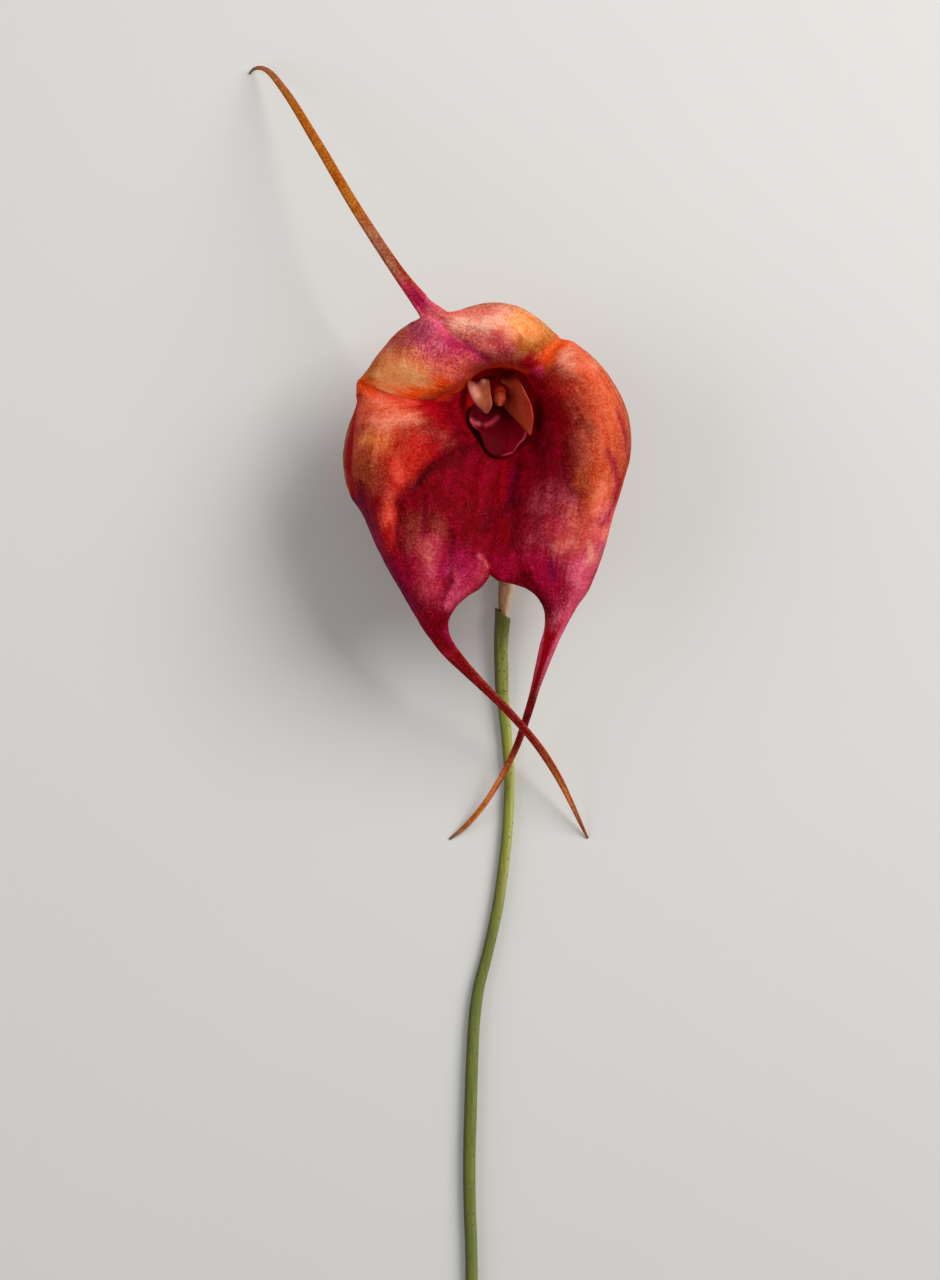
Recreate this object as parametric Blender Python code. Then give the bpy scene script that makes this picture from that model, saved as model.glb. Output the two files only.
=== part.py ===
"""A masdevallia orchid flower with its stem, picked and laid on its back.

Run it with: blender --background --python part.py

Lengths are in metres and +Z is up. The flower lies on a table at z = 0 with its face turned
up, its stem along the table towards -Y, and the tips of its three tails touching the table.
Each piece of the flower is one object with its own material.

Places are given as stations: (across, down, height). The first two are pixels of the
940 by 1280 photograph, read by eye, and the height above the table is in millimetres.
The function at() turns a station into metres, as the eye above the table sees it.
"""

import math

import bpy
import numpy as np
from mathutils import Vector

# Real sizes, in metres
FACE_WIDTH = 0.060
FACE_HEIGHT = 0.030
EYE_HEIGHT = 0.768
SEPAL_THICKNESS = 0.0009
MARGIN_THICKNESS = 0.0005
TAIL_THICKNESS_SHARE = 0.62
MOST_TAIL_THICKNESS = 0.0012
PETAL_THICKNESS = 0.0007
LIP_THICKNESS = 0.0009
MM = 0.001

# The photograph's frame, in pixels
FACE_WIDTH_PX = 289
EYE_PX = (470, 640)
# Where the table is straight below the eye, from the middle of the object's box
EYE_PLACE = (0.00706, 0.01959)

# The three sepals grow together into a tube, and each reaches its own tail. S counts the
# levels along a sepal: 0 to 3 are the rings of the tube, 5 is where the dorsal sepal comes
# free of the two lateral ones, and 7 is the notch, where those come free of each other.
SINUS_S = 5
NOTCH_S = 7

# Rings of the tube: s, across, down, height, then in millimetres the half width, the reach
# to the dorsal and to the ventral side, and how far those two sides rise and drop
RINGS = (
    (0, 498, 369, 9.0, 1.9, 1.5, 1.5, 0.8, 0.8),
    (1, 498, 374, 11.8, 4.4, 3.4, 4.4, 1.8, 2.4),
    (2, 499, 384, 16.0, 6.6, 4.9, 6.9, 2.4, 4.6),
    (3, 501, 398, 21.0, 8.6, 6.65, 9.9, 3.3, 4.5),
)
TUBE_END = (498, 367.5, 8.5)

# Angles round the tube from its dorsal side, clockwise for the eye, of each sepal's veins
DORSAL_ANGLES = (-74, -47, -20, 10, 40)
RIGHT_ANGLES = (40, 75, 107, 140, 175)
LEFT_ANGLES = (175, 207, 237, 262, 286)

# Stations of the veins on the face: s, across, down, height
LEFT_CREASE = ((4, 415, 400, 26.5), (5, 357.8, 382, 24.0))
RIGHT_CREASE = ((4, 540, 362, 26.8), (5, 559.5, 338.4, 24.5))
VENTRAL_LINE = ((4, 499, 470, 19.3), (5, 496, 505, 23.2), (6, 493, 542, 25.7), (7, 490, 573.5, 26.6))

DORSAL_LEFT_EDGE = ((5.5, 366, 371, 23.8), (6, 380, 350.5, 24.6), (6.5, 395, 333.5, 25.8),
                    (7, 409, 324.2, 27.0), (7.5, 416, 321.3, 28.0))
DORSAL_LEFT_VEIN = ((4, 448, 382, 29.0), (5, 412, 368, 30.5), (6, 408, 350, 30.5), (7, 421, 331, 29.8))
DORSAL_MIDVEIN = ((4, 480, 358, 30.0), (5, 462, 347, 30.2), (6, 447, 335, 30.0), (7, 437, 324, 29.6))
DORSAL_RIGHT_VEIN = ((4, 507, 353, 30.0), (5, 512, 338, 31.0), (6, 489, 324, 30.7), (7, 459, 320, 29.9))
DORSAL_RIGHT_EDGE = ((5.5, 547, 326, 25.2), (6, 526, 309.5, 26.3), (6.5, 504, 303, 27.0),
                     (7, 480, 303.8, 27.4), (7.5, 460, 312, 28.3), (7.8, 450.5, 315, 28.8))

RIGHT_OUTER_EDGE = ((5.25, 581, 348.5, 23.8), (5.5, 597.5, 362, 23.4), (5.8, 613, 380, 23.2),
                    (6.1, 626, 403, 23.0), (6.4, 632.5, 430, 22.9), (6.7, 632, 456, 22.9),
                    (7, 625, 481, 23.0), (7.5, 612.5, 522, 23.2), (8, 601, 560, 23.5),
                    (8.5, 588, 589, 24.0), (9, 572, 615, 24.2), (9.5, 559.5, 638, 23.8))
RIGHT_OUTER_VEIN = ((4, 565, 372, 29.0), (5, 590, 385, 30.0), (6, 608, 430, 29.5),
                    (7, 602, 485, 28.8), (8, 583, 550, 28.6), (9, 564, 610, 26.8))
RIGHT_MIDVEIN = ((4, 560, 405, 27.5), (5, 578, 440, 29.3), (6, 580, 480, 29.3),
                 (7, 573, 525, 28.8), (8, 563, 570, 28.4), (9, 557, 615, 26.6))
RIGHT_INNER_VEIN = ((4, 538, 447, 22.3), (5, 541, 485, 26.0), (6, 539, 522, 27.6),
                    (7, 536, 552, 28.0), (8, 540, 582, 27.9), (9, 550, 616, 26.3))
RIGHT_INNER_EDGE = ((7.3, 498, 579.5, 26.6), (7.7, 516, 584, 26.8), (8.1, 531, 590, 26.8),
                    (8.6, 541.5, 600, 26.5), (9, 546, 610, 26.0), (9.5, 546, 626, 25.0))

LEFT_INNER_EDGE = ((7.4, 482, 586.5, 26.5), (7.8, 469, 596, 26.6), (8.3, 456, 607.5, 26.2),
                   (8.8, 448.5, 618.5, 25.6), (9.3, 447.5, 628, 24.9))
LEFT_INNER_VEIN = ((4, 467, 450, 23.5), (5, 453, 487, 26.4), (6, 447, 523, 27.6),
                   (7, 440, 556, 28.2), (8, 433, 588, 27.9), (9, 436, 617, 26.0))
LEFT_MIDVEIN = ((4, 443, 425, 27.5), (5, 412, 455, 29.0), (6, 402, 495, 28.8),
                (7, 401, 535, 28.6), (8, 410, 575, 28.0), (9, 425, 611, 26.2))
LEFT_OUTER_VEIN = ((4, 427, 408, 28.5), (5, 385, 415, 30.3), (6, 370, 455, 29.8),
                   (7, 373, 502, 28.9), (8, 390, 560, 27.8), (9, 415, 606, 25.8))
LEFT_OUTER_EDGE = ((5.3, 356, 398, 23.6), (5.6, 351, 414, 23.2), (6, 344, 438, 22.9),
                   (6.5, 341.8, 468, 22.9), (7, 349.5, 496, 23.0), (7.4, 362, 513, 23.2),
                   (7.8, 372, 534, 23.4), (8.3, 386, 563, 23.8), (8.7, 399, 585, 24.0),
                   (9.2, 414, 613, 24.1), (9.6, 426, 632, 23.8))

# Midlines of the tails: s, across, down, height, and the width in millimetres
DORSAL_TAIL = ((8, 428.5, 311.5, 29.2, 4.0), (8.5, 418, 299, 28.9, 3.4), (9.3, 396, 270, 27.8, 2.9),
               (10.2, 358, 210, 24.0, 2.5), (11.2, 316, 139.5, 16.3, 2.2),
               (11.9, 285, 90, 9.0, 1.8), (12.3, 268, 70.6, 4.6, 1.2),
               (12.5, 260, 67.6, 2.8, 0.9), (12.7, 253, 69.5, 1.05, 0.6), (12.85, 249.5, 74, 0.16, 0.4))
RIGHT_TAIL = ((10, 547, 649, 23.4, 3.0), (10.5, 536, 683, 18.6, 1.9), (11, 530, 705, 14.6, 1.8),
              (11.5, 520, 736, 9.4, 1.7), (12, 510.5, 758, 6.6, 1.5), (12.5, 498, 781, 4.4, 1.3),
              (13, 483, 804, 2.8, 1.2), (13.5, 466, 825, 1.4, 0.9), (14, 449.5, 839, 0.16, 0.4))
LEFT_TAIL = ((10, 449, 650, 22.8, 3.0), (10.4, 464, 667, 20.6, 2.3), (10.9, 484, 687, 17.9, 2.1),
             (11.5, 509, 712, 14.8, 1.8), (12, 532, 738.5, 11.6, 1.7), (12.4, 543.5, 755, 9.7, 1.6),
             (12.9, 556.5, 778, 7.0, 1.45), (13.4, 568, 803, 4.2, 1.25),
             (13.8, 578, 825, 1.55, 0.85), (14.1, 587.5, 838, 0.16, 0.4))

# How far across a sepal, of its half width, the free edge starts to roll back, and by how much
ROLL_START = 0.92
ROLL_ANGLE = math.radians(100)
CREASE_SHARPNESS = 0.6
TAIL_CHANNEL = 0.12

# How finely the calyx is cut: rows for each level of s, and places across a sepal
ROWS_PER_LEVEL = (1, 2, 2, 4, 4, 4, 4, 4, 4, 3, 4, 3, 4, 4, 4)
ACROSS = (-1, -0.97, -0.92, -0.75, -0.5, -0.25, 0, 0.25, 0.5, 0.75, 0.92, 0.97, 1)

# Petals: the two long edges of each, from its seat beside the column to its tip
LEFT_PETAL_OUTER = ((490, 370.5, 11.0), (483.5, 373, 15.5), (476, 377.5, 19.4), (470, 382.3, 22.0),
                    (470, 391, 23.4), (475.5, 402, 23.6), (485, 412, 23.2))
LEFT_PETAL_INNER = ((492.2, 372.5, 11.0), (490, 375, 15.5), (488, 380, 19.5), (489.5, 389, 22.5),
                    (491.5, 399, 24.0), (493, 408, 24.2), (488.5, 413.5, 23.4))
RIGHT_PETAL_INNER = ((504.4, 372.5, 11.0), (502.5, 375.5, 14.8), (501, 381, 17.2), (508.5, 388, 17.0),
                     (509, 396, 15.8), (503.5, 403, 15.8), (507.5, 410.5, 17.8), (517, 420, 20.3),
                     (529.5, 434.5, 22.8))
RIGHT_PETAL_OUTER = ((507, 370.5, 11.0), (512, 372.5, 15.2), (519, 381, 20.0), (525, 393, 22.8),
                     (531, 406, 24.0), (532.8, 420, 24.2), (531, 433.5, 23.2))
PETAL_BULGE = 0.0005

# Lip: its midline from the hinge at the column's foot to the tip, its half width, and how far
# its edges turn up, both in millimetres
LIP_MIDLINE = ((500.5, 393, 11.2), (500.5, 404, 13.2), (501, 420, 15.8), (504.5, 434, 17.9),
               (507, 446, 19.3), (507, 454.5, 19.4))
LIP_HALF_WIDTHS = (0.8, 2.1, 6.0, 4.4, 2.8, 1.2)
LIP_CUP = (0.1, 0.6, 4.1, 2.6, 1.1, 0.2)

# Column: its midline from the floor of the tube to the anther, and its radius, in millimetres
COLUMN_MIDLINE = ((498, 371.5, 9.45, 1.1), (498.5, 377, 12.0, 1.05), (499, 385, 14.8, 1.1),
                  (499.5, 391.5, 16.8, 1.35), (500, 394, 17.6, 1.3))
COLUMN_FOOT = ((498.3, 374, 10.9, 0.7), (499.5, 382, 10.85, 0.65), (500.4, 390.5, 10.8, 0.6))
ANTHER_MIDLINE = ((500.1, 395.4, 17.85, 1.2), (500.3, 397, 18.3, 1.5), (500.6, 399.5, 19.0, 1.4),
                  (500.9, 402.5, 19.7, 0.7))

# Stem: ovary, pedicel and scape follow one midline, with the radius in millimetres
OVARY_BEND_RADIUS = 0.0041
OVARY_BEND_TILT = math.radians(25)
OVARY_LINE = ((499, 384.5, 2.05, 2.0), (500, 400, 2.05, 2.1), (501.5, 415, 2.0, 2.05), (503, 430, 1.9, 1.9))
PEDICEL_LINE = ((503.2, 431.6, 1.87, 1.85), (505.5, 460, 1.83, 1.8), (508, 510, 1.84, 1.8),
                (508.4, 550, 1.88, 1.83), (507, 583, 1.82, 1.75), (505.2, 598, 1.7, 1.5),
                (504, 610, 1.72, 1.15), (502, 626, 1.56, 0.9), (500.9, 654, 1.35, 0.85),
                (501.8, 688, 1.35, 0.85))
SCAPE_LINE = ((501.9, 689.4, 1.35, 1.35), (504, 711, 1.3, 1.27), (507.3, 744, 1.17, 1.17),
              (509.2, 775, 1.14, 1.14), (508.8, 805, 1.14, 1.14), (506.8, 836, 1.18, 1.18),
              (504, 862, 1.2, 1.2), (498, 905, 1.22, 1.22), (488.3, 950, 1.2, 1.2),
              (477.5, 994, 1.27, 1.27), (474.2, 1021, 1.3, 1.3), (472.3, 1055, 1.35, 1.35),
              (470.5, 1110, 1.4, 1.4), (469.2, 1168, 1.37, 1.37), (469.8, 1208, 1.36, 1.36),
              (471.2, 1248, 1.35, 1.35), (471.5, 1300, 1.36, 1.36), (470.5, 1350, 1.4, 1.4),
              (469, 1395, 1.42, 1.42))
OVARY_RIBS = 6
OVARY_RIB_DEPTH = 0.07

# Bract: a thin sheath round the foot of the pedicel, with its point on the left
BRACT_LINE = ((501.8, 687.6, 1.45, 1.33), (501.4, 670, 1.47, 1.36), (500.9, 654, 1.5, 1.38),
              (501.3, 636, 1.55, 1.44), (502.6, 620, 1.69, 1.58), (503.6, 609, 1.88, 1.76))
BRACT_WALL = 0.0002
BRACT_OPEN_SIDE = 0.12

# Base colour as linear red, green and blue, then roughness
COLOURS = {
    "sepals": ((0.55, 0.06, 0.05), 0.55),
    "petal_left": ((0.55, 0.28, 0.18), 0.5),
    "petal_right": ((0.35, 0.08, 0.03), 0.5),
    "lip": ((0.12, 0.0, 0.01), 0.45),
    "column": ((0.35, 0.1, 0.04), 0.5),
    "anther_cap": ((0.45, 0.11, 0.03), 0.45),
    "ovary": ((0.24, 0.11, 0.06), 0.6),
    "pedicel": ((0.3, 0.17, 0.1), 0.6),
    "floral_bract": ((0.12, 0.11, 0.03), 0.65),
    "scape": ((0.15, 0.19, 0.04), 0.55),
}


def at(across, down, height):
    """A station as a point in metres: the eye sees a lower point smaller."""
    scale = FACE_WIDTH / FACE_WIDTH_PX * (EYE_HEIGHT - height * MM) / (EYE_HEIGHT - FACE_HEIGHT)
    x = EYE_PLACE[0] + (across - EYE_PX[0]) * scale
    y = EYE_PLACE[1] - (down - EYE_PX[1]) * scale
    return np.array([x, y, height * MM])


def unit(v):
    return v / np.linalg.norm(v, axis=-1, keepdims=True)


def smoothstep(x):
    x = np.clip(x, 0.0, 1.0)
    return x * x * (3 - 2 * x)


def spline(knots, values, x):
    """A smooth curve through values at knots, with slopes taken from both neighbours."""
    knots = np.asarray(knots, float)
    values = np.asarray(values, float)
    step = np.diff(knots)
    slope = np.diff(values, axis=0) / step[:, None]
    before, after = step[:-1, None], step[1:, None]
    tangent = np.concatenate([
        slope[:1],
        (slope[:-1] * after + slope[1:] * before) / (before + after),
        slope[-1:],
    ])
    i = np.clip(np.searchsorted(knots, x, side="right") - 1, 0, len(step) - 1)
    f = ((x - knots[i]) / step[i])[:, None]
    h = step[i][:, None]
    return (values[i] * (1 + 2 * f) * (1 - f) ** 2 + tangent[i] * h * f * (1 - f) ** 2
            + values[i + 1] * f * f * (3 - 2 * f) + tangent[i + 1] * h * f * f * (f - 1))


def ring_station(ring, angle):
    """The point of a tube ring at this angle from its dorsal side."""
    s, across, down, height, side, dorsal, ventral, rise, drop = ring
    along, up = math.sin(math.radians(angle)), math.cos(math.radians(angle))
    reach, lift = (dorsal, rise) if up > 0 else (ventral, drop)
    point = at(across, down, height) + np.array([side * along, reach * up, lift * up]) * MM
    return s, point


def tail_stations(tail, t):
    """Where a vein at t, from -1 to 1 across, runs along a tail."""
    centres = np.array([at(*station[1:4]) for station in tail])
    heading = unit(np.gradient(centres, axis=0))
    side = unit(np.cross(heading, [0.0, 0.0, 1.0]))
    up = np.cross(side, heading)
    half = np.array([station[4] for station in tail])[:, None] * MM / 2
    points = centres + side * half * t + up * half * TAIL_CHANNEL * (2 * t * t - 1)
    return [(station[0], point) for station, point in zip(tail, points)]


def vein(angle, face, tail, t):
    """A vein from the base of the tube to the tip of the tail, as pieces of knots and points.

    A face given as two parts is an edge: fused to the next sepal along the first, and free
    along the second, with a corner between them.
    """
    fused, free = face if isinstance(face[0][0], tuple) else (face, ())
    start = [ring_station(ring, angle) for ring in RINGS]
    start += [(station[0], at(*station[1:])) for station in fused]
    rest = [(station[0], at(*station[1:])) for station in free] + tail_stations(tail, t)
    pieces = [start, [start[-1]] + rest] if free else [start + rest]
    return [([station[0] for station in piece], [station[1] for station in piece]) for piece in pieces]


def follow(pieces, s):
    """Points of a vein at the values s."""
    points = spline(*pieces[0], np.minimum(s, pieces[0][0][-1]))
    for knots, values in pieces[1:]:
        later = s > knots[0]
        points[later] = spline(knots, values, s[later])
    return points


def sepal_veins(angles, faces, tail):
    return [vein(angle, face, tail, t) for angle, face, t in zip(angles, faces, (-1, -0.5, 0, 0.5, 1))]


def cross_tangents(veins, before, after, hold_before, hold_after):
    """Slopes across the sepal at its five veins; a fused edge looks past itself."""
    inner = [(veins[k + 1] - veins[k - 1]) / 2 for k in (1, 2, 3)]
    first = -1.5 * veins[0] + 2 * veins[1] - 0.5 * veins[2]
    last = 1.5 * veins[4] - 2 * veins[3] + 0.5 * veins[2]
    first = first + ((veins[1] - before) / 2 - first) * hold_before
    last = last + ((after - veins[3]) / 2 - last) * hold_after
    return [first, *inner, last]


def blade(veins, tangents, t):
    """Points of the sepal at t across, for every s of the veins."""
    k = min(int((t + 1) * 2), 3)
    f = (t + 1) * 2 - k
    return (veins[k] * (1 + 2 * f) * (1 - f) ** 2 + tangents[k] * f * (1 - f) ** 2
            + veins[k + 1] * f * f * (3 - 2 * f) + tangents[k + 1] * f * f * (f - 1))


def roll_back(points, amounts, across):
    """Rolls each free edge of a grid of points back over the last of its width."""
    for sign, amount in zip((-1, 1), amounts):
        start = across.index(sign * ROLL_START)
        hinge, edge = points[:, start], points[:, 0 if sign < 0 else -1]
        outward = edge - hinge
        reach = np.linalg.norm(outward, axis=1, keepdims=True)
        inner_face = unit(np.cross(outward * sign, np.gradient(hinge, axis=0)))
        angle = np.maximum(ROLL_ANGLE * amount, 1e-4)[:, None]
        widest = np.sin(np.minimum(angle, math.pi / 2))
        for column, t in enumerate(across):
            if t * sign <= ROLL_START:
                continue
            turn = angle * (t * sign - ROLL_START) / (1 - ROLL_START)
            sunk = inner_face * reach * (1 - np.cos(turn)) / widest
            rolled = hinge + outward * np.sin(turn) / widest - sunk
            points[:, column] = np.where(amount[:, None] > 0, rolled, points[:, column])


def sepal_rows(last_s):
    rows = [level + i / n for level, n in enumerate(ROWS_PER_LEVEL) for i in range(n)]
    rows = [row for row in rows if row < last_s]
    return np.array(rows + [last_s])


def sepal_sheet(angles, faces, tail, before, after, free_from):
    """The middle surface of one sepal: a grid of points, and half of its thickness there."""
    s = sepal_rows(tail[-1][0])
    veins = [follow(v, s) for v in sepal_veins(angles, faces, tail)]
    fused = [1 - smoothstep(s - free) for free in free_from]
    shared = [follow(v, np.minimum(s, v[-1][0][-1])) for v in (before, after)]
    hold = [(f * CREASE_SHARPNESS if free == SINUS_S else f)[:, None] for f, free in zip(fused, free_from)]
    tangents = cross_tangents(veins, *shared, *hold)
    points = np.stack([blade(veins, tangents, t) for t in ACROSS], axis=1)
    tail_start = tail[0][0]
    flat = 1 - smoothstep(s - tail_start + 1)
    roll_back(points, [smoothstep((s - free) / 0.7) * flat for free in free_from], ACROSS)
    width = np.linalg.norm(veins[4] - veins[0], axis=1)
    tail_share = smoothstep((s - tail_start + 1.5) / 1.5)
    tail_thickness = np.minimum(width * TAIL_THICKNESS_SHARE, MOST_TAIL_THICKNESS)
    middle = SEPAL_THICKNESS + (tail_thickness - SEPAL_THICKNESS) * tail_share
    margin = MARGIN_THICKNESS + (0.4 * tail_thickness - MARGIN_THICKNESS) * tail_share
    t2 = np.array(ACROSS)[None, :] ** 2
    crown = np.where(tail_share[:, None] > 0, np.sqrt(1 - 0.98 * t2), 1 - t2 ** 4)
    return points, (margin[:, None] + (middle - margin)[:, None] * crown) / 2


def grid_faces(rows, columns, first=0):
    index = first + np.arange(rows * columns).reshape(rows, columns)
    quads = np.stack([index[:-1, :-1], index[:-1, 1:], index[1:, 1:], index[1:, :-1]], axis=-1)
    return [tuple(q) for q in quads.reshape(-1, 4).tolist()]


def weld(points, faces, values):
    """Joins points at the same place, so that sheets that share an edge become one."""
    _, first, index = np.unique(np.round(points * 1e7).astype(np.int64), axis=0,
                                return_index=True, return_inverse=True)
    index = index.reshape(-1)
    return points[first], [tuple(index[i] for i in face) for face in faces], values[first]


def point_normals(points, faces):
    """Unit normals at the points, from the faces around each."""
    normals = np.zeros_like(points)
    for face in faces:
        corners = points[list(face)]
        diagonal = np.cross(corners[2] - corners[0], corners[-1] - corners[1])
        normals[list(face)] += diagonal
    return unit(normals)


def thicken(points, faces, half):
    """A closed shell round a sheet: its inner side, its outer side and the rim between."""
    normals = point_normals(points, faces)
    n = len(points)
    shell = np.concatenate([points + normals * half[:, None], points - normals * half[:, None]])
    edges = {}
    for face in faces:
        for a, b in zip(face, face[1:] + face[:1]):
            edges[(a, b)] = edges.get((a, b), 0) + 1
    rim = [(b, a, a + n, b + n) for a, b in edges if (b, a) not in edges]
    back = [tuple(i + n for i in reversed(face)) for face in faces]
    return shell, list(faces) + back + rim


def calyx():
    """The three fused sepals as one closed shell."""
    dorsal_faces = ((LEFT_CREASE, DORSAL_LEFT_EDGE), DORSAL_LEFT_VEIN, DORSAL_MIDVEIN,
                    DORSAL_RIGHT_VEIN, (RIGHT_CREASE, DORSAL_RIGHT_EDGE))
    right_faces = ((RIGHT_CREASE, RIGHT_OUTER_EDGE), RIGHT_OUTER_VEIN, RIGHT_MIDVEIN,
                   RIGHT_INNER_VEIN, (VENTRAL_LINE, RIGHT_INNER_EDGE))
    left_faces = ((VENTRAL_LINE, LEFT_INNER_EDGE), LEFT_INNER_VEIN, LEFT_MIDVEIN,
                  LEFT_OUTER_VEIN, (LEFT_CREASE, LEFT_OUTER_EDGE))
    sepals = ((DORSAL_ANGLES, dorsal_faces, DORSAL_TAIL, (SINUS_S, SINUS_S)),
              (RIGHT_ANGLES, right_faces, RIGHT_TAIL, (SINUS_S, NOTCH_S)),
              (LEFT_ANGLES, left_faces, LEFT_TAIL, (NOTCH_S, SINUS_S)))
    veins = [sepal_veins(angles, faces, tail) for angles, faces, tail, _ in sepals]
    points, faces, half = [], [], []
    for k, (angles, face, tail, free_from) in enumerate(sepals):
        before, after = veins[k - 1][3], veins[(k + 1) % 3][1]
        grid, thickness = sepal_sheet(angles, face, tail, before, after, free_from)
        faces += grid_faces(*grid.shape[:2], first=sum(len(p) for p in points))
        points.append(grid.reshape(-1, 3))
        half.append(thickness.reshape(-1))
    end = sum(len(p) for p in points)
    columns = len(ACROSS)
    starts = [sum(len(p) for p in points[:k]) for k in range(3)]
    faces += [(end, start + i + 1, start + i) for start in starts for i in range(columns - 1)]
    points.append(at(*TUBE_END)[None])
    half.append(np.array([SEPAL_THICKNESS / 2]))
    return thicken(*weld(np.concatenate(points), faces, np.concatenate(half)))


def petal(edges, rows=14, columns=6):
    """A petal between its two edges, thin at the edges and slightly bulged."""
    along = np.linspace(0, 1, rows)
    first, second = (spline(np.linspace(0, 1, len(e)), [at(*p) for p in e], along) for e in edges)
    t = np.linspace(0, 1, columns + 1)[None, :, None]
    grid = first[:, None] * (1 - t) + second[:, None] * t
    across, heading = second - first, np.gradient((first + second) / 2, axis=0)
    normal = unit(np.cross(across, heading))
    swell = np.sin(np.pi * t) * np.sin(np.pi * along)[:, None, None]
    grid = grid + normal[:, None] * swell * PETAL_BULGE
    half = PETAL_THICKNESS / 2 * (0.5 + 0.5 * np.sin(np.pi * t[..., 0])) * np.ones((rows, 1))
    return thicken(grid.reshape(-1, 3), grid_faces(rows, columns + 1), half.reshape(-1))


def lip(rows=16, columns=8):
    """The lip: a tongue whose edges turn up into a shallow cup."""
    along = np.linspace(0, 1, rows)
    knots = np.linspace(0, 1, len(LIP_MIDLINE))
    middle = spline(knots, [at(*p) for p in LIP_MIDLINE], along)
    width = spline(knots, np.array(LIP_HALF_WIDTHS)[:, None] * MM, along)
    cup = spline(knots, np.array(LIP_CUP)[:, None] * MM, along)
    heading = unit(np.gradient(middle, axis=0))
    side = unit(np.cross(heading, [0.0, 0.0, 1.0]))
    up = np.cross(side, heading)
    t = np.linspace(-1, 1, columns + 1)[None, :, None]
    grid = middle[:, None] + (side * width)[:, None] * t + (up * cup)[:, None] * t * t
    half = LIP_THICKNESS / 2 * (1 - 0.5 * t[..., 0] ** 4) * np.ones((rows, 1))
    return thicken(grid.reshape(-1, 3), grid_faces(rows, columns + 1), half.reshape(-1))


def sweep(points, radii, sides=16, ribs=0, rib_depth=0.0):
    """A closed round rod along points, with flat ends, and ribs along it if wanted."""
    points = np.asarray(points, float)
    heading = unit(np.gradient(points, axis=0))
    side = unit(np.cross(heading, [0.0, 0.0, 1.0]) + np.array([1e-6, 0, 0]))
    up = np.cross(side, heading)
    angle = np.linspace(0, 2 * np.pi, sides, endpoint=False)
    shape = 1 - rib_depth * (1 + np.cos(ribs * angle + np.pi)) / 2 if ribs else np.ones(sides)
    ring = side[:, None] * np.cos(angle)[None, :, None] + up[:, None] * np.sin(angle)[None, :, None]
    grid = points[:, None] + ring * (np.asarray(radii)[:, None] * shape[None])[..., None]
    rows = len(points)
    faces = []
    for i in range(rows - 1):
        for j in range(sides):
            k = (j + 1) % sides
            faces.append((i * sides + k, i * sides + j, (i + 1) * sides + j, (i + 1) * sides + k))
    faces.append(tuple(range(sides)))
    faces.append(tuple((rows - 1) * sides + j for j in reversed(range(sides))))
    return grid.reshape(-1, 3), faces


def smooth_line(stations, count):
    """Points and radii along a smooth line through (across, down, height, radius) stations."""
    points = np.array([at(*station[:3]) for station in stations])
    run = np.concatenate([[0], np.cumsum(np.linalg.norm(np.diff(points, axis=0), axis=1))])
    radii = np.array([[station[3] * MM] for station in stations])
    line = spline(run, np.concatenate([points, radii], axis=1), np.linspace(0, run[-1], count))
    return line[:, :3], line[:, 3]


def ovary_line():
    """The ovary's midline: down from the tube's end round a bend, and then along the table."""
    table_points, table_radii = smooth_line(OVARY_LINE, 10)
    start = table_points[0]
    turn = math.pi / 2 + OVARY_BEND_TILT
    bend = []
    for i in range(12, 0, -1):
        angle = turn * i / 12
        bend.append(start + OVARY_BEND_RADIUS * np.array([0, math.sin(angle), 1 - math.cos(angle)]))
    radii = 0.002 - 0.0002 * np.linspace(1, 0, 12)
    return np.concatenate([bend, table_points]), np.concatenate([radii, table_radii])


def bract():
    """The sheath: a thin wall round the pedicel whose mouth slants to a point on the left."""
    points, radii = smooth_line(BRACT_LINE, 15)
    sides = 16
    heading = unit(np.gradient(points, axis=0))
    side = unit(np.cross(heading, [0.0, 0.0, 1.0]))
    up = np.cross(side, heading)
    grid = np.zeros((len(points), sides, 3))
    for j in range(sides):
        angle = 2 * math.pi * j / sides
        reach = 1 - BRACT_OPEN_SIDE * (1 + math.cos(angle)) / 2
        rows = np.linspace(0, reach, len(points))
        x = np.linspace(0, 1, len(points))
        column = points + (side * math.cos(angle) + up * math.sin(angle)) * radii[:, None]
        grid[:, j] = spline(x, column, rows)
    faces = []
    for i in range(len(points) - 1):
        for j in range(sides):
            k = (j + 1) % sides
            faces.append((i * sides + j, i * sides + k, (i + 1) * sides + k, (i + 1) * sides + j))
    flat = grid.reshape(-1, 3)
    return thicken(flat, faces, np.full(len(flat), BRACT_WALL / 2))


def finish(name):
    """The piece's plain material."""
    colour, roughness = COLOURS[name]
    material = bpy.data.materials.new(name + "_finish")
    material.use_nodes = True
    shader = material.node_tree.nodes["Principled BSDF"]
    shader.inputs["Base Color"].default_value = (*colour, 1.0)
    shader.inputs["Roughness"].default_value = roughness
    shader.inputs["Metallic"].default_value = 0.0
    return material


def add(name, shape, helper=False):
    """Makes the named object from points and faces; a helper is only used to shape another."""
    points, faces = shape
    mesh = bpy.data.meshes.new(name)
    mesh.from_pydata([Vector(p) for p in points], [], faces)
    mesh.validate()
    mesh.shade_smooth()
    mesh.set_sharp_from_angle(angle=math.radians(50))
    if not helper:
        mesh.materials.append(finish(name))
    obj = bpy.data.objects.new(name, mesh)
    obj.hide_render = helper
    bpy.context.scene.collection.objects.link(obj)
    return obj


def add_column():
    """The column and its foot, grown together as one body."""
    column = add("column", sweep(*smooth_line(COLUMN_MIDLINE, 12)))
    foot = add("column_foot", sweep(*smooth_line(COLUMN_FOOT, 6), sides=12), helper=True)
    union = column.modifiers.new("foot", "BOOLEAN")
    union.operation = "UNION"
    union.object = foot


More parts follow.
